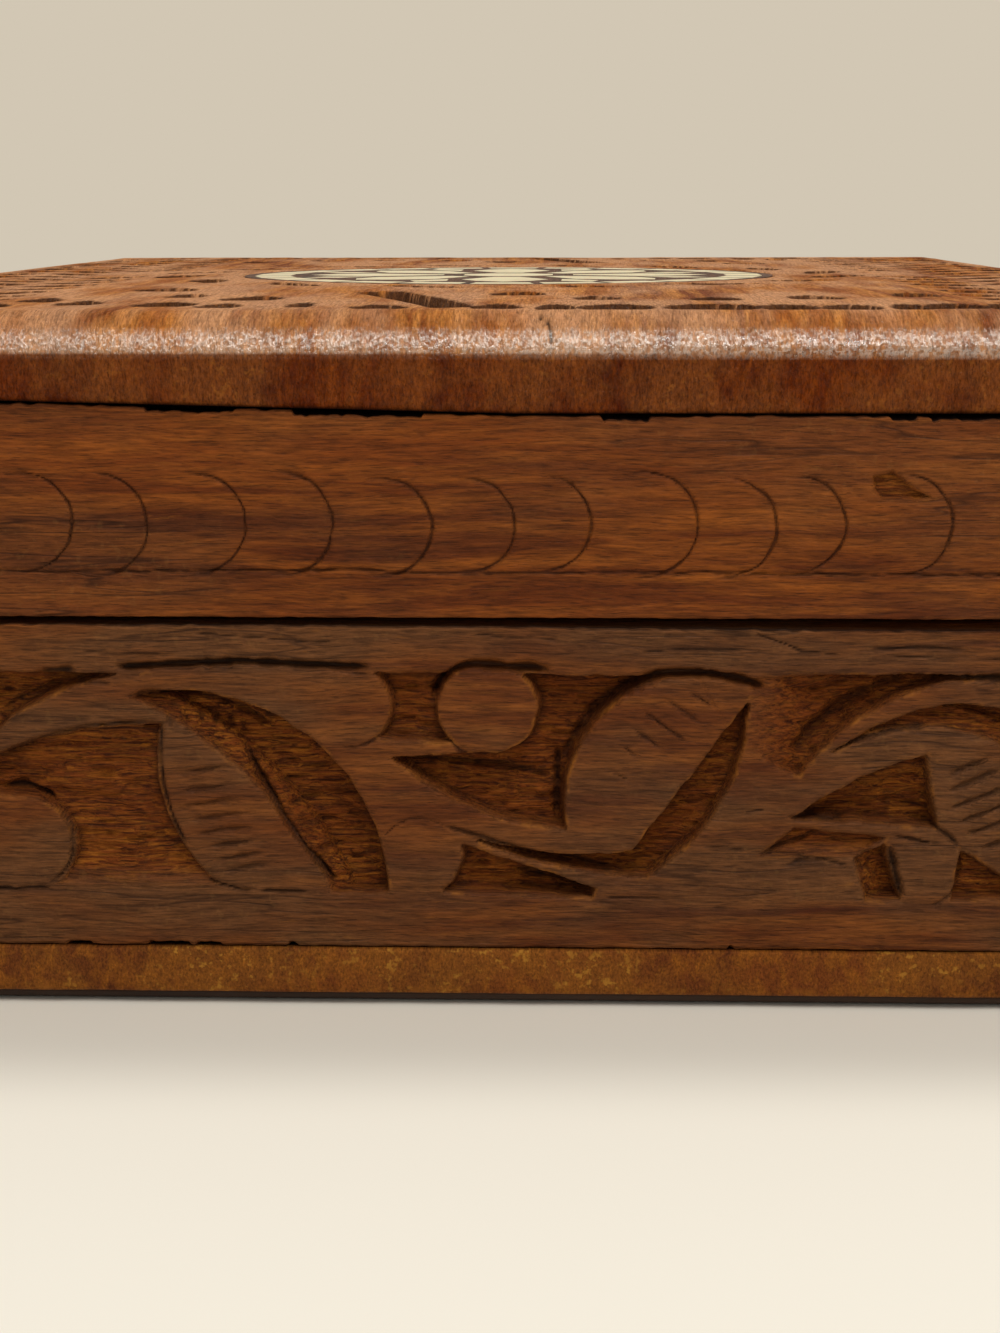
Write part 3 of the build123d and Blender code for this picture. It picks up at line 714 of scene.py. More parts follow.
# The row of scallops along the lid rails: arcs open to the left above a knife line
scallop_pitch = 7.75
scallop_radius = 4.55
scallop_height = 44.9
scallop_line_height = 40.7
scallop_line_step = 8.5
# How far from the corners a plain row of scallops ends, and the photographed one at its left and right
scallop_margin = 7
scallop_left_margin = 13
scallop_right_margin = 6
front_scallop_tips = (-36.2, -29.5, -20.8, -13.1, -4.3, 3.0, 9.7, 19.1, 26.0, 32.0, 41.3)
leaf_chip = [
    (34.0, 49.3), (36.0, 49.8), (37.5, 48.6), (39.8, 47.4), (38.0, 47.1), (35.0, 47.2), (34.3, 47.8),
    (34.0, 49.3),
]


def scallop_tips(side, half_run):
    """Where the scallops of one rail reach furthest right."""
    if side != "front":
        count = int((half_run - scallop_margin) // scallop_pitch)
        return [number * scallop_pitch for number in range(-count, count + 1)]
    tips = list(front_scallop_tips)
    while tips[0] - scallop_pitch > scallop_left_margin - half_run:
        tips.insert(0, tips[0] - scallop_pitch)
    while tips[-1] + scallop_pitch < half_run - scallop_right_margin:
        tips.append(tips[-1] + scallop_pitch)
    return tips


def scallop_row(relief, side, half_run, seed):
    shake = np.random.default_rng(seed)
    for number, tip in enumerate(scallop_tips(side, half_run)):
        radius = scallop_radius + shake.uniform(-0.3, 0.25)
        x = tip - radius
        z = scallop_height + shake.uniform(-0.3, 0.3)
        start = math.radians(100 + shake.uniform(-16, 14))
        end = math.radians(-108 + shake.uniform(-16, 18))
        places = [start, (start + end) / 2, end]
        run = [(x + radius * math.cos(a), z + 0.96 * radius * math.sin(a)) for a in places]
        relief.stroke([run], 0.19, 0.3, seed + number + 100, 0.6, 2.6, 0.1)
    if side == "front":
        relief.cut(runs_of(leaf_chip), 0.8, seed + 60, wall=0.35)
    steps = int((half_run - 4) // scallop_line_step)
    for number in range(-steps, steps):
        x = number * scallop_line_step
        z = scallop_line_height + shake.uniform(-0.12, 0.12)
        run = [(x - 0.6, z), (x + scallop_line_step + 0.4, z + shake.uniform(-0.12, 0.12))]
        relief.stroke([run], 0.2, shake.uniform(0.14, 0.42), seed + number + 300, 0.6, 1.5, 0.08)


# Bars of the two frames

sides = {
    "front": ((1, 0), (0, -1)),
    "back": ((-1, 0), (0, 1)),
    "left": ((0, -1), (-1, 0)),
    "right": ((0, 1), (1, 0)),
}
arris_radius = 0.35
corner_radius = 0.5
# Where the top and bottom faces of a bar turn level, and how far in a hinge mortise reaches
seat_start = 1.6
mortise_reach = 7.65


def rounded(distance, radius):
    """Depth of a rounded edge at a distance from it, and the distance kept short of its middle."""
    kept = np.maximum(distance, radius * (1 - math.sqrt(0.5)))
    drop = np.where(kept < radius, radius - np.sqrt(np.maximum(radius ** 2 - (radius - kept) ** 2, 0)), 0.0)
    return drop, kept


def mesh_object(name, points, faces, marks, material, keys=(), flat=()):
    """Mesh in metres from points in millimetres. An edge is sharp where both its ends have the same key."""
    mesh = bpy.data.meshes.new(name)
    mesh.from_pydata((np.asarray(points) * MM).tolist(), [], faces)
    mesh.update()
    for mark, values in marks.items():
        layer = mesh.attributes.new(mark, "FLOAT", "POINT")
        layer.data.foreach_set("value", np.clip(values, 0, 1).astype(np.float32))
    smooth_faces = np.ones(len(mesh.polygons), bool)
    if len(flat):
        smooth_faces[list(flat)] = False
    mesh.polygons.foreach_set("use_smooth", smooth_faces)
    if keys:
        ends = np.zeros(2 * len(mesh.edges), np.int64)
        mesh.edges.foreach_get("vertices", ends)
        ends = ends.reshape(-1, 2)
        sharp = np.zeros(len(ends), bool)
        for key in keys:
            sharp |= (key[ends[:, 0]] >= 0) & (key[ends[:, 0]] == key[ends[:, 1]])
        layer = mesh.attributes.new("sharp_edge", "BOOLEAN", "EDGE")
        layer.data.foreach_set("value", sharp)
    mesh.materials.append(material)
    made = bpy.data.objects.new(name, mesh)
    bpy.context.scene.collection.objects.link(made)
    return made


def joined_rows(previous, following):
    """Faces between two closed rows of points."""
    return np.stack([previous, following, np.roll(following, -1), np.roll(previous, -1)], 1).tolist()


def grid_faces(shape):
    """Faces of a grid of points, and its rim as a loop."""
    index = np.arange(shape[0] * shape[1]).reshape(shape)
    faces = np.stack([index[:-1, :-1], index[1:, :-1], index[1:, 1:], index[:-1, 1:]], 2).reshape(-1, 4)
    return faces, np.concatenate([index[:-1, 0], index[-1, :-1], index[:0:-1, -1], index[0, :0:-1]])


def bar(name, side, low, high, relief, material, top_drop, bottom_lift, seed, top_mortise=0.0,
        bottom_mortise=0.0, top_joint_shade=(0.9, 0.0), foot_joint_shade=0.3):
    """One mitred bar of a frame with its carved outer face. Its worn edges and mortises are given per column,
    and the painted shade in its joints for two rows at its top and one at its foot."""
    across, outward = sides[side]
    half, plane = (wall_x, wall_y) if side in ("front", "back") else (wall_y, wall_x)
    count, face_rows = relief.u.shape
    none = np.zeros(count)

    u = relief.u.copy()
    v = relief.v.copy()
    wander = 0.05 * noise_field(u, v, 9.0, 5.0, seed + 1) + 0.03 * noise_field(u, v, 2.6, 0.5, seed + 2)
    near_end = smooth(half - np.abs(u), 0.6, 3.0)
    near_edge = smooth(np.minimum(v - low, high - v), 0.0, 0.8)
    depth = relief.depth + (0.08 + wander) * near_end * near_edge
    for start, sign, amounts in ((high, 1, top_drop + top_mortise), (low, -1, bottom_lift + bottom_mortise)):
        pull = smooth(sign * (v - start), -2.2, 0.0)
        v = v - sign * amounts[:, None] * pull
    top_edge = high - (top_drop + top_mortise)[:, None]
    bottom_edge = low + (bottom_lift + bottom_mortise)[:, None]
    drop, kept = rounded(top_edge - v, arris_radius)
    depth = depth + drop
    v = top_edge - kept
    drop, kept = rounded(v - bottom_edge, arris_radius)
    depth = depth + drop
    v = bottom_edge + kept
    drop, kept = rounded(half - np.abs(u), corner_radius)
    depth = depth + drop
    u = np.sign(u) * (half - kept)
    u = u - np.sign(u) * np.maximum(depth - (half - np.abs(u)), 0)

    # The rest of the bar's section: how far inward and how high, from the top edge round to the bottom edge
    section = (
        (arris_radius, high - top_drop - top_mortise),
        (seat_start, high - top_mortise),
        (mortise_reach, high - top_mortise),
        (mortise_reach + step_half, high),
        (wall_thickness, high),
        (wall_thickness, low),
        (mortise_reach + step_half, low),
        (mortise_reach, low + bottom_mortise),
        (seat_start, low + bottom_mortise),
        (arris_radius, low + bottom_lift + bottom_mortise),
    )
    for inward, height in section:
        u = np.column_stack([u, relief.us * (half - inward) / half])
        v = np.column_stack([v, none + height])
        depth = np.column_stack([depth, none + inward])
    rows = u.shape[1]
    x = across[0] * u + outward[0] * (plane - depth)
    y = across[1] * u + outward[1] * (plane - depth)
    points = np.stack([x, y, v], 2).reshape(-1, 3)

    i, j = np.meshgrid(np.arange(count - 1), np.arange(rows), indexing="ij")
    after = (j + 1) % rows
    faces = np.stack([i * rows + j, (i + 1) * rows + j, (i + 1) * rows + after, i * rows + after], 2)
    faces = faces.reshape(-1, 4).tolist()
    faces.append(list(range(rows)))
    faces.append([(count - 1) * rows + n for n in reversed(range(rows))])
    marks = {}
    for mark in ("sunk", "arris", "painted_shade"):
        marks[mark] = np.zeros((count, rows))
        marks[mark][:, :face_rows] = getattr(relief, mark)
    # Painted shade in the joints: two rows at the top seam and the foot row against the part below.
    marks["painted_shade"][:, face_rows:face_rows + 2] = top_joint_shade
    marks["painted_shade"][:, -1] = foot_joint_shade
    column = np.full((count, rows), -1)
    column[0, :] = 0
    column[-1, :] = 1
    row = np.full((count, rows), -1)
    row[:, face_rows + 2:rows - 2] = np.arange(face_rows + 2, rows - 2)
    marks = {mark: values.ravel() for mark, values in marks.items()}
    flat = [len(faces) - 2, len(faces) - 1]
    return mesh_object(name, points, faces, marks, material, (column.ravel(), row.ravel()), flat)


def ragged(us, spans, depth, seed, fine=0.05):
    """How much an edge is broken away along its length: the listed spans, and a little everywhere."""
    lost = fine * (1 + noise_line(us, 0.9, seed)) * 0.5
    for start, end in spans:
        inside = smooth(us, start - 0.15, start + 0.25) * smooth(us, end + 0.15, end - 0.25)
        torn = 1 + 0.25 * noise_line(us, 1.4, seed + 5) + 0.2 * noise_line(us, 0.45, seed + 6)
        lost = np.maximum(lost, depth * inside * torn)
    return lost


# Widths of the strips along a bar's edges and across its ends where grid lines are closest, and half the gap
# between two lines that make an upright side
edge_strip = 0.4
end_strip = 0.6
step_half = 0.02


def edge_lines(low, high, low_field, high_field, fine, coarse, upper=None):
    """Rows of a bar's face: fine over its field, coarser over its borders, close along its two edges."""
    return spread(
        (low, low + edge_strip, 0.08), (low + edge_strip, low_field, coarse), (low_field, high_field, fine),
        (high_field, high - edge_strip, upper or coarse), (high - edge_strip, high, 0.08),
    )


def seen_columns(half, fine, coarse):
    return spread(
        (-half, -half + end_strip, 0.1), (-half + end_strip, seen_left, coarse),
        (seen_left, seen_right, fine), (seen_right, half - end_strip, coarse), (half - end_strip, half, 0.1),
    )


def even_columns(side, half, step):
    """Columns of a plain bar. The left one has pairs of lines for the upright sides of its hinge mortises."""
    places = [-half + end_strip]
    for stop in mortise_stops if side == "left" else ():
        places += [stop - step_half, stop + step_half]
    places.append(half - end_strip)
    spans = [(-half, -half + end_strip, 0.15)]
    for n, (start, end) in enumerate(zip(places[:-1], places[1:])):
        spans.append((start, end, step if n % 2 == 0 else 2 * step_half))
    spans.append((half - end_strip, half, 0.15))
    return spread(*spans)


def finish_piece(piece, body, slot, *nodes):
    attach(piece, body)
    if nodes:
        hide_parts(*nodes)


# Woods: their colours as 8-bit display colours, and how much finer their figure is along X, Y and Z
wall_tones = dict(
    dark=(72, 31, 10), middle=(104, 54, 19), light=(126, 71, 27), patina=(96, 61, 34),
    ground_dark=(52, 18, 4), ground=(120, 57, 12), gold=(156, 94, 32), ground_gold=(176, 104, 28),
    fleck=(190, 138, 76), pore=(30, 12, 4),
)
rail_tones = dict(
    wall_tones, dark=(76, 31, 6), middle=(114, 55, 14), light=(138, 74, 22),
)
# The top board's tones are painted lighter and paler than the walls' to stand in for the light and sheen on
# its top;
# the painted side shade darkens its upright sides back.
top_tones = dict(
    dark=(116, 54, 14), middle=(156, 88, 34), light=(192, 124, 58), patina=(198, 146, 106),
    ground_dark=(58, 31, 17), ground=(86, 50, 27), gold=(204, 134, 56), ground_gold=(104, 62, 32),
    fleck=(190, 118, 44), pore=(84, 36, 10),
)
foot_tones = dict(
    top_tones, dark=(88, 42, 16), middle=(120, 62, 20), light=(142, 82, 22), patina=(138, 84, 26),
    gold=(160, 98, 32), fleck=(180, 124, 44), pore=(52, 24, 8),
)
inlay_ground_tones = dict(
    wall_tones, dark=(48, 18, 7), middle=(70, 30, 12), light=(92, 46, 20), patina=(80, 46, 26),
    gold=(104, 56, 24),
)

along_x = (1, 13, 13)
along_y = (13, 1, 13)
wall_woods = {}
rail_woods = {}
for number, side in enumerate(("front", "back", "left", "right")):
    grain = along_x if side in ("front", "back") else along_y
    wall_woods[side] = wood("carved_wood_" + side, grain, wall_tones, 1.0 + 20 * number, 0.8)
    rail_woods[side] = wood("rail_wood_" + side, grain, rail_tones, 5.0 + 20 * number, 0.3)
top_wood = wood("top_board_wood", (16, 1, 5), top_tones, 9.0, 0.7, roughness=(0.5, 0.75), specular=0.04,
                polished=True, pit_cells=(3000, 1700, 2600), pit_bump=0.0002, fleck_share=0.2, cracks=0.0,
                pore_dark=0.3)
foot_wood = wood("bottom_board_wood", (12, 1, 7), foot_tones, 13.0, 0.5, 1.4, (0.5, 0.75),
                 pit_cells=(1800, 1800, 1800), pit_bump=0.00012, fleck_share=0.75, cracks=0.0)
inlay_wood = wood("inlay_ground_wood", (14, 1, 5), inlay_ground_tones, 17.0, 0.4, roughness=(0.4, 0.6))
pale_inlay = inlay_material()
brass = brass_material()
lining_cloth = cloth_material("lining_cloth", (98, 15, 21), (120, 20, 27), 0.5, (214, 120, 120), 1500)
felt_cloth = cloth_material("base_felt", (46, 29, 20), (64, 44, 32), 0.08, (150, 120, 100), 1100)


# Base walls

wall_bottom = wall_low[2]
wall_top = wall_high[2]
leaf_corners = [corners_mm("hinge_" + end + "_base_leaf") for end in ("front", "rear")]
hinge_middles = [(low[1] + high[1]) / 2 for low, high in leaf_corners]
hinge_half = (leaf_corners[0][1][1] - leaf_corners[0][0][1]) / 2 + 0.05

mortise_depth = 0.8
mortise_stops = sorted(-middle + sign * hinge_half for middle in hinge_middles for sign in (-1, 1))


def mortises(side, us):
    """Depth of the hinge mortises at the columns of a bar. Only the left bars have them."""
    cut = np.zeros(len(us))
    if side == "left":
        for middle in hinge_middles:
            cut = np.where(np.abs(us + middle) < hinge_half, mortise_depth, cut)
    return cut


def front_rise(across):
    """How much higher the joint under the top board runs along the front end than its plain level."""
    fade = smooth(across, -74.0, -54.0) * smooth(across, 74.0, 60.0)
    return (0.024 * np.maximum(3.0 - across, 0) - 0.12) * fade


foot_chips = [(-38.5, -36.0), (-31.0, -27.0), (-26.5, -24.0), (-18.0, -17.0), (22.5, 23.1)]
rail_chips = [(-29.5, -21.5), (-16.5, -5.0), (10.5, 14.8), (35.5, 38.0), (39.0, 52.0), (-70.0, -62.0),
              (58.0, 66.0)]

lines = edge_lines(wall_bottom, wall_top, field_foot - 0.4, field_top + 1.2, 0.195, 0.42, 0.2)
relief = Relief(seen_columns(wall_x, 0.2, 0.5), lines)
photographed_relief(relief)
finish_piece(
    bar("carved_wall_front", "front", wall_bottom, wall_top, relief, wall_woods["front"],
        top_drop=ragged(relief.us, [], 0.0, 11, 0.14) + 0.1 + 0.34 * smooth(relief.us, -20.0, 46.0),
        bottom_lift=ragged(relief.us, foot_chips, 0.34, 12, 0.1), seed=31),
    "base", "carved_wood", "base_wall_front",
)
for side, half, seed in (("back", wall_x, 2000), ("left", wall_y, 3000), ("right", wall_y, 4000)):
    lines = edge_lines(wall_bottom, wall_top, field_foot - 0.4, field_top + 0.8, 0.27, 0.5)
    relief = Relief(even_columns(side, half, 0.3), lines)
    running_relief(relief, half, seed)
    chips = [(x, x + 3.0) for x in np.random.default_rng(seed).uniform(-half + 6, half - 9, 5)]
    finish_piece(
        bar("carved_wall_" + side, side, wall_bottom, wall_top, relief, wall_woods[side],
            top_drop=ragged(relief.us, [], 0.0, seed + 1, 0.1),
            bottom_lift=ragged(relief.us, chips, 0.25, seed + 2, 0.06),
            top_mortise=mortises(side, relief.us), seed=seed + 3),
        "base", "carved_wood", "base_wall_" + side,
    )


# Lid rails

rail_bottom = rail_low[2]
rail_top = rail_high[2]
for side, half, seed in (
    ("front", wall_x, 5000), ("back", wall_x, 6000), ("left", wall_y, 7000), ("right", wall_y, 8000),
):
    if side == "front":
        columns = seen_columns(half, 0.13, 0.5)
        fine = 0.17
    else:
        columns = even_columns(side, half, 0.3)
        fine = 0.26
    lines = edge_lines(rail_bottom, rail_top, rail_bottom + 2.6, rail_top - 3.4, fine, fine * 1.6)
    relief = Relief(columns, lines)
    scallop_row(relief, side, half, seed)
    chips = rail_chips
    if side != "front":
        starts = np.random.default_rng(seed + 9).uniform(-half + 6, half - 12, 8)
        chips = [(x, x + 4.0 + 3.0 * n / 8) for n, x in enumerate(starts)]
    worn_top = 0.08 + ragged(relief.us, chips, 0.42, seed + 1, 0.2)
    if side == "front":
        worn_top = worn_top - front_rise(relief.us)
    finish_piece(
        bar("lid_rail_" + side + "_worn", side, rail_bottom, rail_top, relief, rail_woods[side],
            top_drop=worn_top,
            bottom_lift=ragged(relief.us, [], 0.0, seed + 2, 0.08),
            bottom_mortise=mortises(side, relief.us), top_joint_shade=(1.0, 1.0), foot_joint_shade=0.0, seed=seed + 3),
        "lid", "carved_wood", "lid_rail_" + side,
    )


# Top board

# Radius of the upright corners of the two boards, and a shift that gives their long sides noise of their own
board_corner = 0.6
flank_shift = 300
round_radius = 5.5
round_drop = 3.5
round_run = math.sqrt(2 * round_radius * round_drop - round_drop ** 2)
border_fall = 0.06
edge_offsets = (0.0, 0.12, 0.35, 0.7, 1.1, 1.6, 2.2, 2.9, 3.7, 4.5)
top_border = 7.0
top_cut = 2.0
medallion_radius = 35.0
medallion_recess = 1.62
edge_crack = [(4.6, -97.9), (5.9, -99.3), (6.2, -101.2)]
# Levels of the board's upright sides, in millimetres, with how far in they lie
side_levels = (
    (59.78, 0.0), (59.3, 0.0), (58.5, 0.0), (57.6, 0.0), (56.7, 0.0), (56.0, 0.0), (55.5, 0.0), (55.2, 0.04),
    (54.98, 0.16),
)


def board_lines(half, spans):
    """Grid lines of the top board: its rounded edges by their own offsets, then the field."""
    left = [-half + offset for offset in edge_offsets]
    return np.concatenate([left, spread(*spans), [-x for x in reversed(left)]])


def turned(runs, centre, angle):
    cosine = math.cos(math.radians(angle))
    sine = math.sin(math.radians(angle))
    x0, y0 = centre
    return [[(x0 + x * cosine - y * sine, y0 + x * sine + y * cosine) for x, y in run] for run in runs]


def leaf_runs(length, width):
    tip = length / 2
    half = width / 2
    back = [(-length * 0.06, half * 0.62)]
    return runs_of([(-tip, 0), [(-length * 0.04, -half)], (tip, 0), back, (-tip, 0)])


def chip_runs(length, width):
    tip = length / 2
    crown = (length * 0.12, width)
    back = [(-length * 0.27, width * 0.62)]
    return runs_of([(-tip, 0), (tip, 0), [(length * 0.38, width * 0.66)], crown, back, (-tip, 0)])


def gouge_runs(length, width):
    """Gouge cut: blunt at its start, curved sides and a point."""
    back = length / 2
    half = width / 2
    blunt = (-back, -half * 0.7)
    point = (back, half * 0.1)
    upper = [(-length * 0.08, half)]
    return runs_of([blunt, (-back, half * 0.8), upper, point, [(length * 0.05, -half)], blunt])


# The carved field: a ring of leaves, chips along the sides, sprigs beside the ring and gouges at the ends.
# A size is a length and a width.
ring_leaf_count = 16
ring_leaf_size = (13.0, 5.0)
ring_leaf_turn = 62
ring_radius = medallion_radius + 8.0
chip_size = (8.0, 5.5)
chip_pitch = 11.0
sprig_x = 55.0
sprig_half = 4.2
sprig_pitch = 9.5
sprig_clearance = 8.5
sprig_leaf_size = (10.5, 4.4)
sprig_leaf_turn = 42
gouge_margin = 5.9
longest_gouge = 9.0

# Gouges of the field's two ends: place across, then from where to where towards the middle, and width
end_gouges = (
    (1.0, 94.5, 73.0, 4.0), (6.5, 97.0, 81.0, 3.2), (12.0, 97.0, 87.0, 6.4), (20.5, 96.5, 84.0, 8.4),
    (27.5, 97.5, 85.0, 4.6), (38.5, 97.0, 86.0, 3.4), (42.5, 95.0, 76.0, 5.2), (33.0, 96.0, 88.0, 5.0),
    (-38.5, 88.0, 63.0, 3.4), (-36.0, 57.0, 45.0, 6.0), (-17.0, 92.0, 78.0, 1.8), (-24.5, 92.0, 84.0, 3.4),
    (-30.0, 90.0, 79.0, 5.2), (-9.5, 95.0, 88.0, 4.6), (22.0, 80.0, 58.0, 4.4), (32.0, 77.0, 60.0, 5.0),
    (10.5, 77.0, 58.0, 4.2), (-23.5, 78.0, 55.0, 5.4), (-31.0, 72.0, 58.0, 3.4), (43.0, 70.0, 52.0, 4.4),
    (2.5, 68.0, 55.0, 5.0), (-43.5, 82.0, 66.0, 3.0), (-46.5, 93.0, 84.0, 4.4), (47.5, 96.0, 86.0, 4.0),
)
end_band = [
    (-4.4, -93.0), (-0.8, -91.0), [(-5.0, -74.0)], (-10.5, -57.0), (-14.5, -59.5), [(-9.5, -76.0)],
    (-4.4, -93.0),
]


def top_outlines():
    """Every sunk outline of the carved field."""
    for step in range(ring_leaf_count):
        turn = 360 / ring_leaf_count * (step + 0.5)
        centre = (ring_radius * math.cos(math.radians(turn)), ring_radius * math.sin(math.radians(turn)))
        yield turned(leaf_runs(*ring_leaf_size), centre, turn + ring_leaf_turn)
    row_x = half_width - top_border
    row_y = half_length - top_border
    long_count = int(2 * (row_y - chip_size[1]) // chip_pitch)
    sprig_count = int((row_y - 6.0) // sprig_pitch)
    for sign in (-1, 1):
        for step in range(long_count):
            along = (step - (long_count - 1) / 2) * chip_pitch
            yield turned(chip_runs(*chip_size), (sign * row_x, along), sign * 90)
        for step in range(-sprig_count, sprig_count + 1):
            for side in (-1, 1):
                centre = (sign * (sprig_x + side * sprig_half), (step + 0.25 * side) * sprig_pitch)
                if math.hypot(*centre) > ring_radius + sprig_clearance:
                    yield turned(leaf_runs(*sprig_leaf_size), centre, 90 - side * sign * sprig_leaf_turn)
        for across, start, end, width in end_gouges:
            start = min(start, half_length - gouge_margin)
            end = max(end, start - longest_gouge)
            centre = (-sign * across, sign * (start + end) / 2)
            yield turned(gouge_runs(start - end, width), centre, -90 * sign)
        yield turned(runs_of(end_band), (0.0, 0.0), 0 if sign < 0 else 180)


def top_relief(relief):
    for number, runs in enumerate(top_outlines()):
        relief.cut(runs, top_cut, 9000 + number, wall=0.4)
    relief.sunk = np.maximum(relief.sunk, relief.arris > 0.01)
    relief.arris[:] = 0
    rim = medallion_radius + 0.2
    circle = [[(rim * math.cos(a), rim * math.sin(a)) for a in (b, b + math.pi / 4, b + math.pi / 2)]
              for b in (0, math.pi / 2, math.pi, 3 * math.pi / 2)]
    relief.cut(circle, medallion_recess, 1, wall=0.2, ripple=0.0, grain=0.0)
    relief.stroke(runs_of(edge_crack), 0.2, 0.4, 5, 0.9, 0.5, 0.1)


def handled_low(x, y):
    """Where the photographed end is worn lower, towards its right."""
    return smooth(x, -16.0, 46.0) * (y < 0)


def top_profile(distance):
    """Height of the rounded upper edge at a distance from the board's side."""
    reach = np.clip(round_run - distance, 0, round_run)
    return box_top - round_radius + np.sqrt(round_radius ** 2 - reach ** 2)


def top_board():
    # Columns are finest at the crack in the end's edge, and rows towards the photographed end
    us = board_lines(half_width, [
        (-half_width + round_run, -50.0, 0.75), (-50.0, 4.2, 0.4), (4.2, 6.8, 0.13), (6.8, 50.0, 0.4),
        (50.0, half_width - round_run, 0.75),
    ])
    vs = board_lines(half_length, [
        (-half_length + round_run, -70.0, 0.46), (-70.0, half_length - round_run, 1.05),
    ])
    relief = Relief(us, vs)
    top_relief(relief)
    x, y = relief.u, relief.v
    gap_x, gap_y = half_width - np.abs(x), half_length - np.abs(y)
    z = np.minimum(top_profile(gap_x), top_profile(gap_y))
    fall = border_fall * smooth(np.minimum(gap_x, gap_y), 17.0, 4.0)
    z = z - fall * (z - box_top + round_drop) / round_drop
    wear = 0.05 + 0.05 * noise_field(x, y, 14, 17, 71) + 0.03 * noise_field(x, y, 2.2, 5.0, 72)
    z = z - relief.depth - np.clip(wear, 0, 1)

    # The rim, where the rounded edge meets the upright sides
    rim = np.zeros(x.shape, bool)
    rim[0, :] = rim[-1, :] = True
    rim[:, 0] = rim[:, -1] = True
    side_drop, kept_x = rounded(gap_x, board_corner)
    end_drop, kept_y = rounded(gap_y, board_corner)
    ends = rim & (np.abs(gap_y) < 1e-9)
    flanks = rim & (np.abs(gap_x) < 1e-9) & ~ends
    x = np.where(ends, np.sign(x) * (half_width - kept_x), x)
    y = np.where(ends, np.sign(y) * (half_length - side_drop - 0.1 - 0.24 * handled_low(x, y)), y)
    y = np.where(flanks, np.sign(y) * (half_length - kept_y), y)
    x = np.where(flanks, np.sign(x) * (half_width - end_drop - 0.1), x)
    z = np.where(rim, z + 0.06, z)
    faces, loop = grid_faces(x.shape)
    faces = faces.tolist()
    points = np.stack([x.ravel(), y.ravel(), z.ravel()], 1)

    ring = points[loop]
    on_end = np.abs(ring[:, 1]) > half_length - 0.75
    on_flank = np.abs(ring[:, 0]) > half_width - 0.75
    along = np.where(on_end, ring[:, 0], ring[:, 1] + flank_shift)
    rag = ragged(along, rail_chips, 0.16, 77, 0.2) + 0.06 * noise_line(along, 0.35, 78)
    rise = np.where(on_end & (ring[:, 1] < 0), front_rise(ring[:, 0]), 0)
    underside = [(board_low[2], inset) for inset in (0.5, 2.1, 2.15)]
    levels = [*side_levels, *underside]
    all_points = [points]
    previous = loop
    start = len(points)
    for number, (height, inset) in enumerate(levels):
        level = ring.copy()
        rough = 0.05 + 0.05 * noise_field(along, 0 * along + height, 3.1, 1.7, 80)
        rough = rough + 0.02 * noise_field(along, 0 * along + height, 0.6, 0.6, 81)
        push = 0.1 - np.clip(rough, 0, 0.1) - inset
        push = push - handled_low(ring[:, 0], ring[:, 1]) * np.clip(height - 59.3, 0, 0.6) * 0.25
        level[:, 0] += np.where(on_flank, np.sign(ring[:, 0]), 0) * push
        level[:, 1] += np.where(on_end, np.sign(ring[:, 1]), 0) * push
        level[:, 2] = height
        if number < len(side_levels):
            level[:, 2] += rag * smooth(height, 56.2, 55.2)
        if number < len(levels) - 1:
            level[:, 2] += rise * min(1.0, (59.0 - height) / 4.0) * (height < 59.0)
        all_points.append(level)
        following = start + np.arange(len(loop))
        faces += joined_rows(previous, following)
        previous = following
        start += len(loop)
    faces.append([int(n) for n in reversed(previous)])

    points = np.concatenate(all_points)
    x, y, z = points.T
    marks = {}
    for mark in ("sunk", "arris", "painted_shade"):
        marks[mark] = np.zeros(len(points))
        marks[mark][:relief.u.size] = getattr(relief, mark).ravel()
    above_arris = smooth(z - (box_top - round_drop) + 0.2 * handled_low(x, y), -0.3, 0.1)
    flat_top = smooth(z, box_top - 2.2, box_top - 1.5)
    from_edge = np.minimum(half_width - np.abs(x), half_length - np.abs(y))
    rubbed = 0.7 + 0.3 * smooth(x, -70.0, 20.0)
    marks["polish"] = 0.02 + 0.96 * (above_arris * (1 - flat_top) * smooth(from_edge, 6.5, 5.0)) * rubbed
    # Painted shade on the upright sides below the rounded edge, which face away from the light.
    marks["painted_side_shade"] = 1 - above_arris
    # Painted shade over the board's underside, in the seam above the rails.
    marks["painted_shade"][-len(underside) * len(loop):] = 1.0
    return mesh_object("carved_top_board", points, faces, marks, top_wood, (), [len(faces) - 1])


finish_piece(top_board(), "lid", "top_board_wood", "top_board")


# Bottom board

def pushed_in(half, side_gap, kept, is_face, place, push):
    """One coordinate of the board's outline: pushed in on two sides, short of the corner on the others."""
    return np.sign(place) * (half - np.where(is_face, side_gap + push, np.maximum(kept, push)))


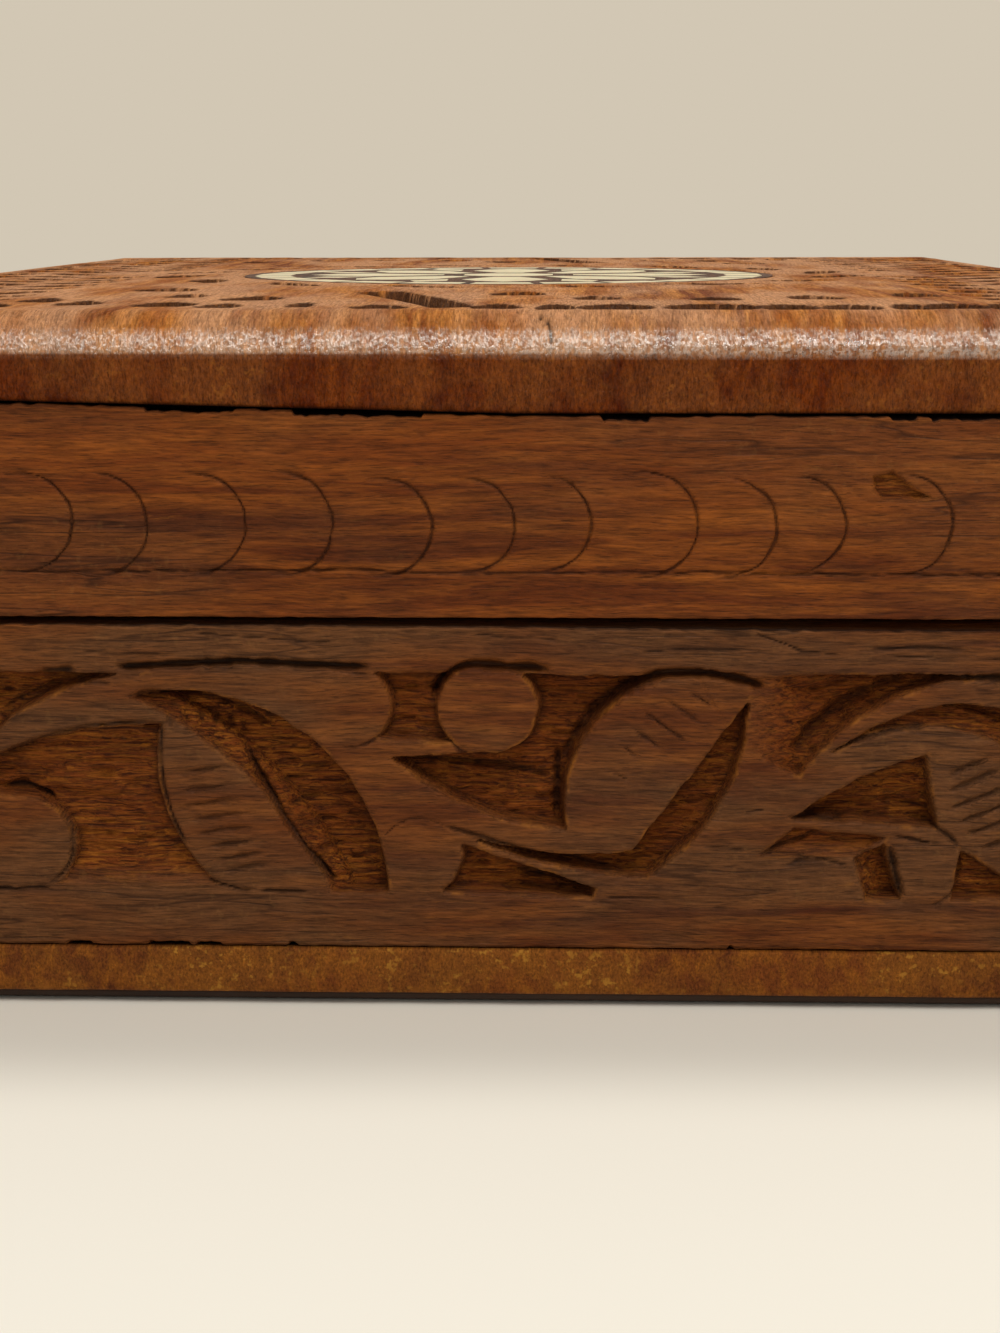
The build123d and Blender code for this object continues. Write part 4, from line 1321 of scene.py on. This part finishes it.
def bottom_board():
    low, high = foot_low[2], foot_high[2]
    xs = spread((-half_width, half_width, 0.3))
    ys = spread((-half_length, half_length, 0.3))
    around = [(x, -half_length, True) for x in xs[:-1]] + [(half_width, y, False) for y in ys[:-1]]
    around += [(x, half_length, True) for x in xs[:0:-1]] + [(-half_width, y, False) for y in ys[:0:-1]]
    place_x, place_y, on_end = np.array(around).T
    on_end = on_end > 0
    side_drop, kept_x = rounded(half_width - np.abs(place_x), board_corner)
    end_drop, kept_y = rounded(half_length - np.abs(place_y), board_corner)
    along = np.where(on_end, place_x, place_y + flank_shift)
    levels = (
        (low, 1.6), (low, 0.55), (low + 0.12, 0.2), (low + 0.4, 0.04), (low + 1.1, 0), (low + 1.9, 0),
        (low + 2.7, 0), (low + 3.4, 0), (low + 3.95, 0), (low + 4.28, 0.03), (high, 0.12), (high, 1.4),
    )
    rows = []
    for height, inset in levels:
        rough = 0.07 + 0.07 * noise_field(along, 0 * along + height, 4.0, 1.5, 90)
        rough = rough + 0.03 * noise_field(along, 0 * along + height, 0.7, 0.5, 91)
        push = inset + np.clip(rough, 0, 0.2)
        x = pushed_in(half_width, end_drop, kept_x, ~on_end, place_x, push)
        y = pushed_in(half_length, side_drop, kept_y, on_end, place_y, push)
        sag = 0.06 * smooth(height, high - 1.0, high - 0.1) * (1 + noise_line(along, 2.4, 92))
        z = height - np.where(height < high or inset < 1, sag, 0)
        rows.append(np.stack([x, y, z], 1))
    count = len(around)
    last = len(levels) - 1
    points = np.concatenate(rows)
    faces = []
    for number in range(last):
        here = number * count + np.arange(count)
        faces += np.stack([here, np.roll(here, -1), np.roll(here, -1) + count, here + count], 1).tolist()
    faces.append([int(n) for n in reversed(range(count))])
    faces.append([last * count + n for n in range(count)])
    marks = {mark: np.zeros(len(points)) for mark in ("sunk", "arris", "painted_shade")}
    marks["arris"][2 * count:4 * count] = 0.7
    # Painted shade on the board's top, in the joint under the walls.
    marks["painted_shade"][last * count:] = 1.0
    flat = [len(faces) - 2, len(faces) - 1]
    return mesh_object("bottom_board_worn", points, faces, marks, foot_wood, (), flat)


finish_piece(bottom_board(), "base", "bottom_board_wood", "bottom_board")


# Cloths

def cloth_lines(low, high, step):
    """Grid lines of a cloth, close together along its two edges."""
    return spread((low, low + 1.2, 0.3), (low + 1.2, high - 1.2, step), (high - 1.2, high, 0.3))


def cloth_slab(name, node, material, step, seed, crown, flat_side):
    """A thin cloth between two levels: flat where it is glued, soft on the other side, thin along its rim."""
    low, high = corners_mm(node)
    us, vs = [cloth_lines(low[n], high[n], step) for n in (0, 1)]
    u, v = np.meshgrid(us, vs, indexing="ij")
    edge = np.minimum(np.minimum(u - us[0], us[-1] - u), np.minimum(v - vs[0], vs[-1] - v))
    body = 0.35 + 0.65 * np.sqrt(np.clip(edge, 0, 1))
    waves = noise_field(u, v, 17, 21, seed) + 0.5 * noise_field(u, v, 6.5, 5.5, seed + 1)
    soft = (high[2] - low[2]) * body * (1 - crown * (0.5 + 0.33 * waves))
    fray = np.abs(0.12 * noise_field(u + v, u - v, 0.8, 0.8, seed + 2))
    rim = edge < 1e-9
    u = np.where(rim, u - np.sign(u) * fray, u)
    v = np.where(rim, v - np.sign(v) * fray, v)
    if flat_side == "under":
        upper, lower = low[2] + soft, np.full(u.shape, low[2])
    else:
        upper, lower = np.full(u.shape, high[2]), high[2] - soft
    top, loop = grid_faces(u.shape)
    under = top[:, ::-1] + u.size
    points = [np.stack([u.ravel(), v.ravel(), height.ravel()], 1) for height in (upper, lower)]
    faces = top.tolist() + under.tolist() + joined_rows(loop, loop + u.size)
    return mesh_object(name, np.concatenate(points), faces, {}, material)


def lay_cloth(piece, body, slot, node):
    finish_piece(piece, body, slot, node)


lay_cloth(cloth_slab("floor_lining_cloth", "floor_lining", lining_cloth, 1.0, 610, 0.35, "under"),
          "base", "lining_cloth", "floor_lining")
lay_cloth(cloth_slab("lid_lining_cloth", "lid_lining", lining_cloth, 1.0, 620, 0.35, "over"),
          "lid", "lining_cloth", "lid_lining")
lay_cloth(cloth_slab("base_felt_cloth", "felt_base", felt_cloth, 1.6, 630, 0.0, "over"),
          "base", "base_felt", "felt_base")


# Inlay and hinges keep their solids, with worn edges and their own finish

def finish_node(node, material, bevel):
    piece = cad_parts[node]
    piece.data.materials.clear()
    piece.data.materials.append(material)
    worn = piece.modifiers.new("worn_edges", "BEVEL")
    worn.width = bevel * MM
    worn.segments = 2
    worn.limit_method = "ANGLE"
    worn.angle_limit = math.radians(40)


finish_node("inlay_ground", inlay_wood, 0.02)
for node in ("inlay_tiles", "inlay_petals", "inlay_darts", "inlay_centre"):
    finish_node(node, pale_inlay, 0.06)
for end in ("front", "rear"):
    for part in ("base_leaf", "lid_leaf", "pin"):
        finish_node("hinge_" + end + "_" + part, brass, 0.08)

screw_radius = 1.52
screw_head = 0.85
screw_slot = 0.36
screw_slot_depth = 0.4
screw_shank = 0.75
screw_length = 5.0
screw_x = -71.525
screw_spacing = 15.0
# Levels of the leaves' faces when the lid is shut
base_leaf_face = 36.17
lid_leaf_face = 36.33


def circle_points(radius, angles):
    return [(radius * math.cos(a), radius * math.sin(a)) for a in angles]


def prism(outline, z0, z1, shrink=1.0):
    """Closed prism between two levels; the second end is drawn in."""
    count = len(outline)
    points = [(x, y, z0) for x, y in outline] + [(x * shrink, y * shrink, z1) for x, y in outline]
    faces = [list(reversed(range(count))), [count + n for n in range(count)]]
    faces += [[n, (n + 1) % count, count + (n + 1) % count, count + n] for n in range(count)]
    return points, faces


def screw(name, centre, face_height, facing, turn):
    """Slotted countersunk screw: two half heads with the slot between them, the cone below and the shank."""
    chord = math.asin(screw_slot / 2 / screw_radius)
    half_head = circle_points(screw_radius, np.linspace(chord, math.pi - chord, 15))
    other_half = [(-x, -y) for x, y in half_head]
    circle = circle_points(screw_radius * 0.985, np.linspace(0, 2 * math.pi, 33)[:-1])
    shank = circle_points(screw_shank, np.linspace(0, 2 * math.pi, 17)[:-1])
    points = []
    faces = []
    for more_points, more_faces in (
        prism(half_head, -screw_slot_depth, 0.0, 0.97), prism(other_half, -screw_slot_depth, 0.0, 0.97),
        prism(circle, -screw_slot_depth, -screw_head, 0.55), prism(shank, -screw_length, -screw_head),
    ):
        faces += [[n + len(points) for n in face] for face in more_faces]
        points += more_points
    x, y, z = np.array(points).T
    across = x * math.cos(turn) - y * math.sin(turn)
    along = x * math.sin(turn) + y * math.cos(turn)
    points = np.stack([centre[0] + across, centre[1] + along * facing, face_height + z * facing], 1)
    return mesh_object(name, points, faces, {}, brass, (), range(len(faces)))


turn_random = np.random.default_rng(55)
for end, middle in zip(("front", "rear"), hinge_middles):
    for body, face_height, facing in (("base", base_leaf_face, 1), ("lid", lid_leaf_face, -1)):
        for number, offset in enumerate((-screw_spacing / 2, screw_spacing / 2)):
            name = "hinge_" + end + "_" + body + "_screw_" + str(number + 1)
            turn = turn_random.uniform(0, math.pi)
            piece = screw(name, (screw_x, middle + offset), face_height, facing, turn)
            finish_piece(piece, body, "hinge_brass")


# Floor, background and light

pale_wall = srgb(210, 199, 180)
pale_floor = srgb(243, 238, 226)


def floor():
    """Round floor with its own light far out, so that it passes into the wall behind without a line."""
    count = 96
    rings = (400.0, 1000.0, 1500.0)
    angles = [2 * math.pi * n / count for n in range(count)]
    points = [(0, 0, 0)] + [(x, y, 0) for ring in rings for x, y in circle_points(ring, angles)]
    faces = [[0, 1 + n, 1 + (n + 1) % count] for n in range(count)]
    for first in (1, 1 + count):
        for n in range(count):
            after = (n + 1) % count
            faces.append([first + n, first + count + n, first + count + after, first + after])
    shader = Shader("pale_floor")
    shader.set(Base_Color=pale_floor, Roughness=0.7, Specular_IOR_Level=0.15)
    away = shader.node("ShaderNodeVectorMath", {0: shader.place}, operation="LENGTH").outputs["Value"]
    share = shader.times(shader.ramp(away, 0.35, 1.2), shader.seen_share())
    glow = shader.node("ShaderNodeEmission", {"Color": pale_wall}).outputs[0]
    blend = shader.node("ShaderNodeMixShader", {0: share, 1: shader.surface.outputs[0], 2: glow}).outputs[0]
    shader.feed(shader.tree.nodes["Material Output"].inputs["Surface"], blend)
    mesh_object("floor", np.array(points), faces, {}, shader.material)


floor()


def background():
    world = bpy.data.worlds.new("studio")
    world.use_nodes = True
    nodes = Nodes(world.node_tree)
    lit = nodes.tree.nodes["Background"]
    lit.inputs["Color"].default_value = srgb(240, 238, 233)
    lit.inputs["Strength"].default_value = 0.5
    shown = nodes.node("ShaderNodeBackground", {"Color": pale_wall, "Strength": 1.0}).outputs[0]
    inputs = {0: nodes.seen_share(), 1: lit.outputs[0], 2: shown}
    blend = nodes.node("ShaderNodeMixShader", inputs).outputs[0]
    nodes.feed(nodes.tree.nodes["World Output"].inputs["Surface"], blend)
    bpy.context.scene.world = world


background()


def lamp(name, place, target, size, energy, colour):
    """Rectangular lamp at a place in metres, turned towards its target. Its energy is in watts."""
    data = bpy.data.lights.new(name, "AREA")
    data.shape = "RECTANGLE"
    data.size, data.size_y = size
    data.energy = energy
    data.color = colour
    made = bpy.data.objects.new(name, data)
    made.location = place
    direction = [t - p for t, p in zip(target, place)]
    tilt = math.atan2(math.hypot(direction[0], direction[1]), -direction[2])
    made.rotation_euler = (tilt, 0, math.atan2(direction[0], -direction[1]) + math.pi)
    bpy.context.scene.collection.objects.link(made)


lamp("ceiling_lamp", (0.18, -0.58, 0.91), (0, -0.1, 0.05), (0.42, 0.42), 4.7, (1.0, 0.97, 0.92))
lamp("rear_lamp", (0.2, 0.15, 0.97), (0, 0, 0.03), (0.22, 0.16), 3.0, (1.0, 0.98, 0.94))
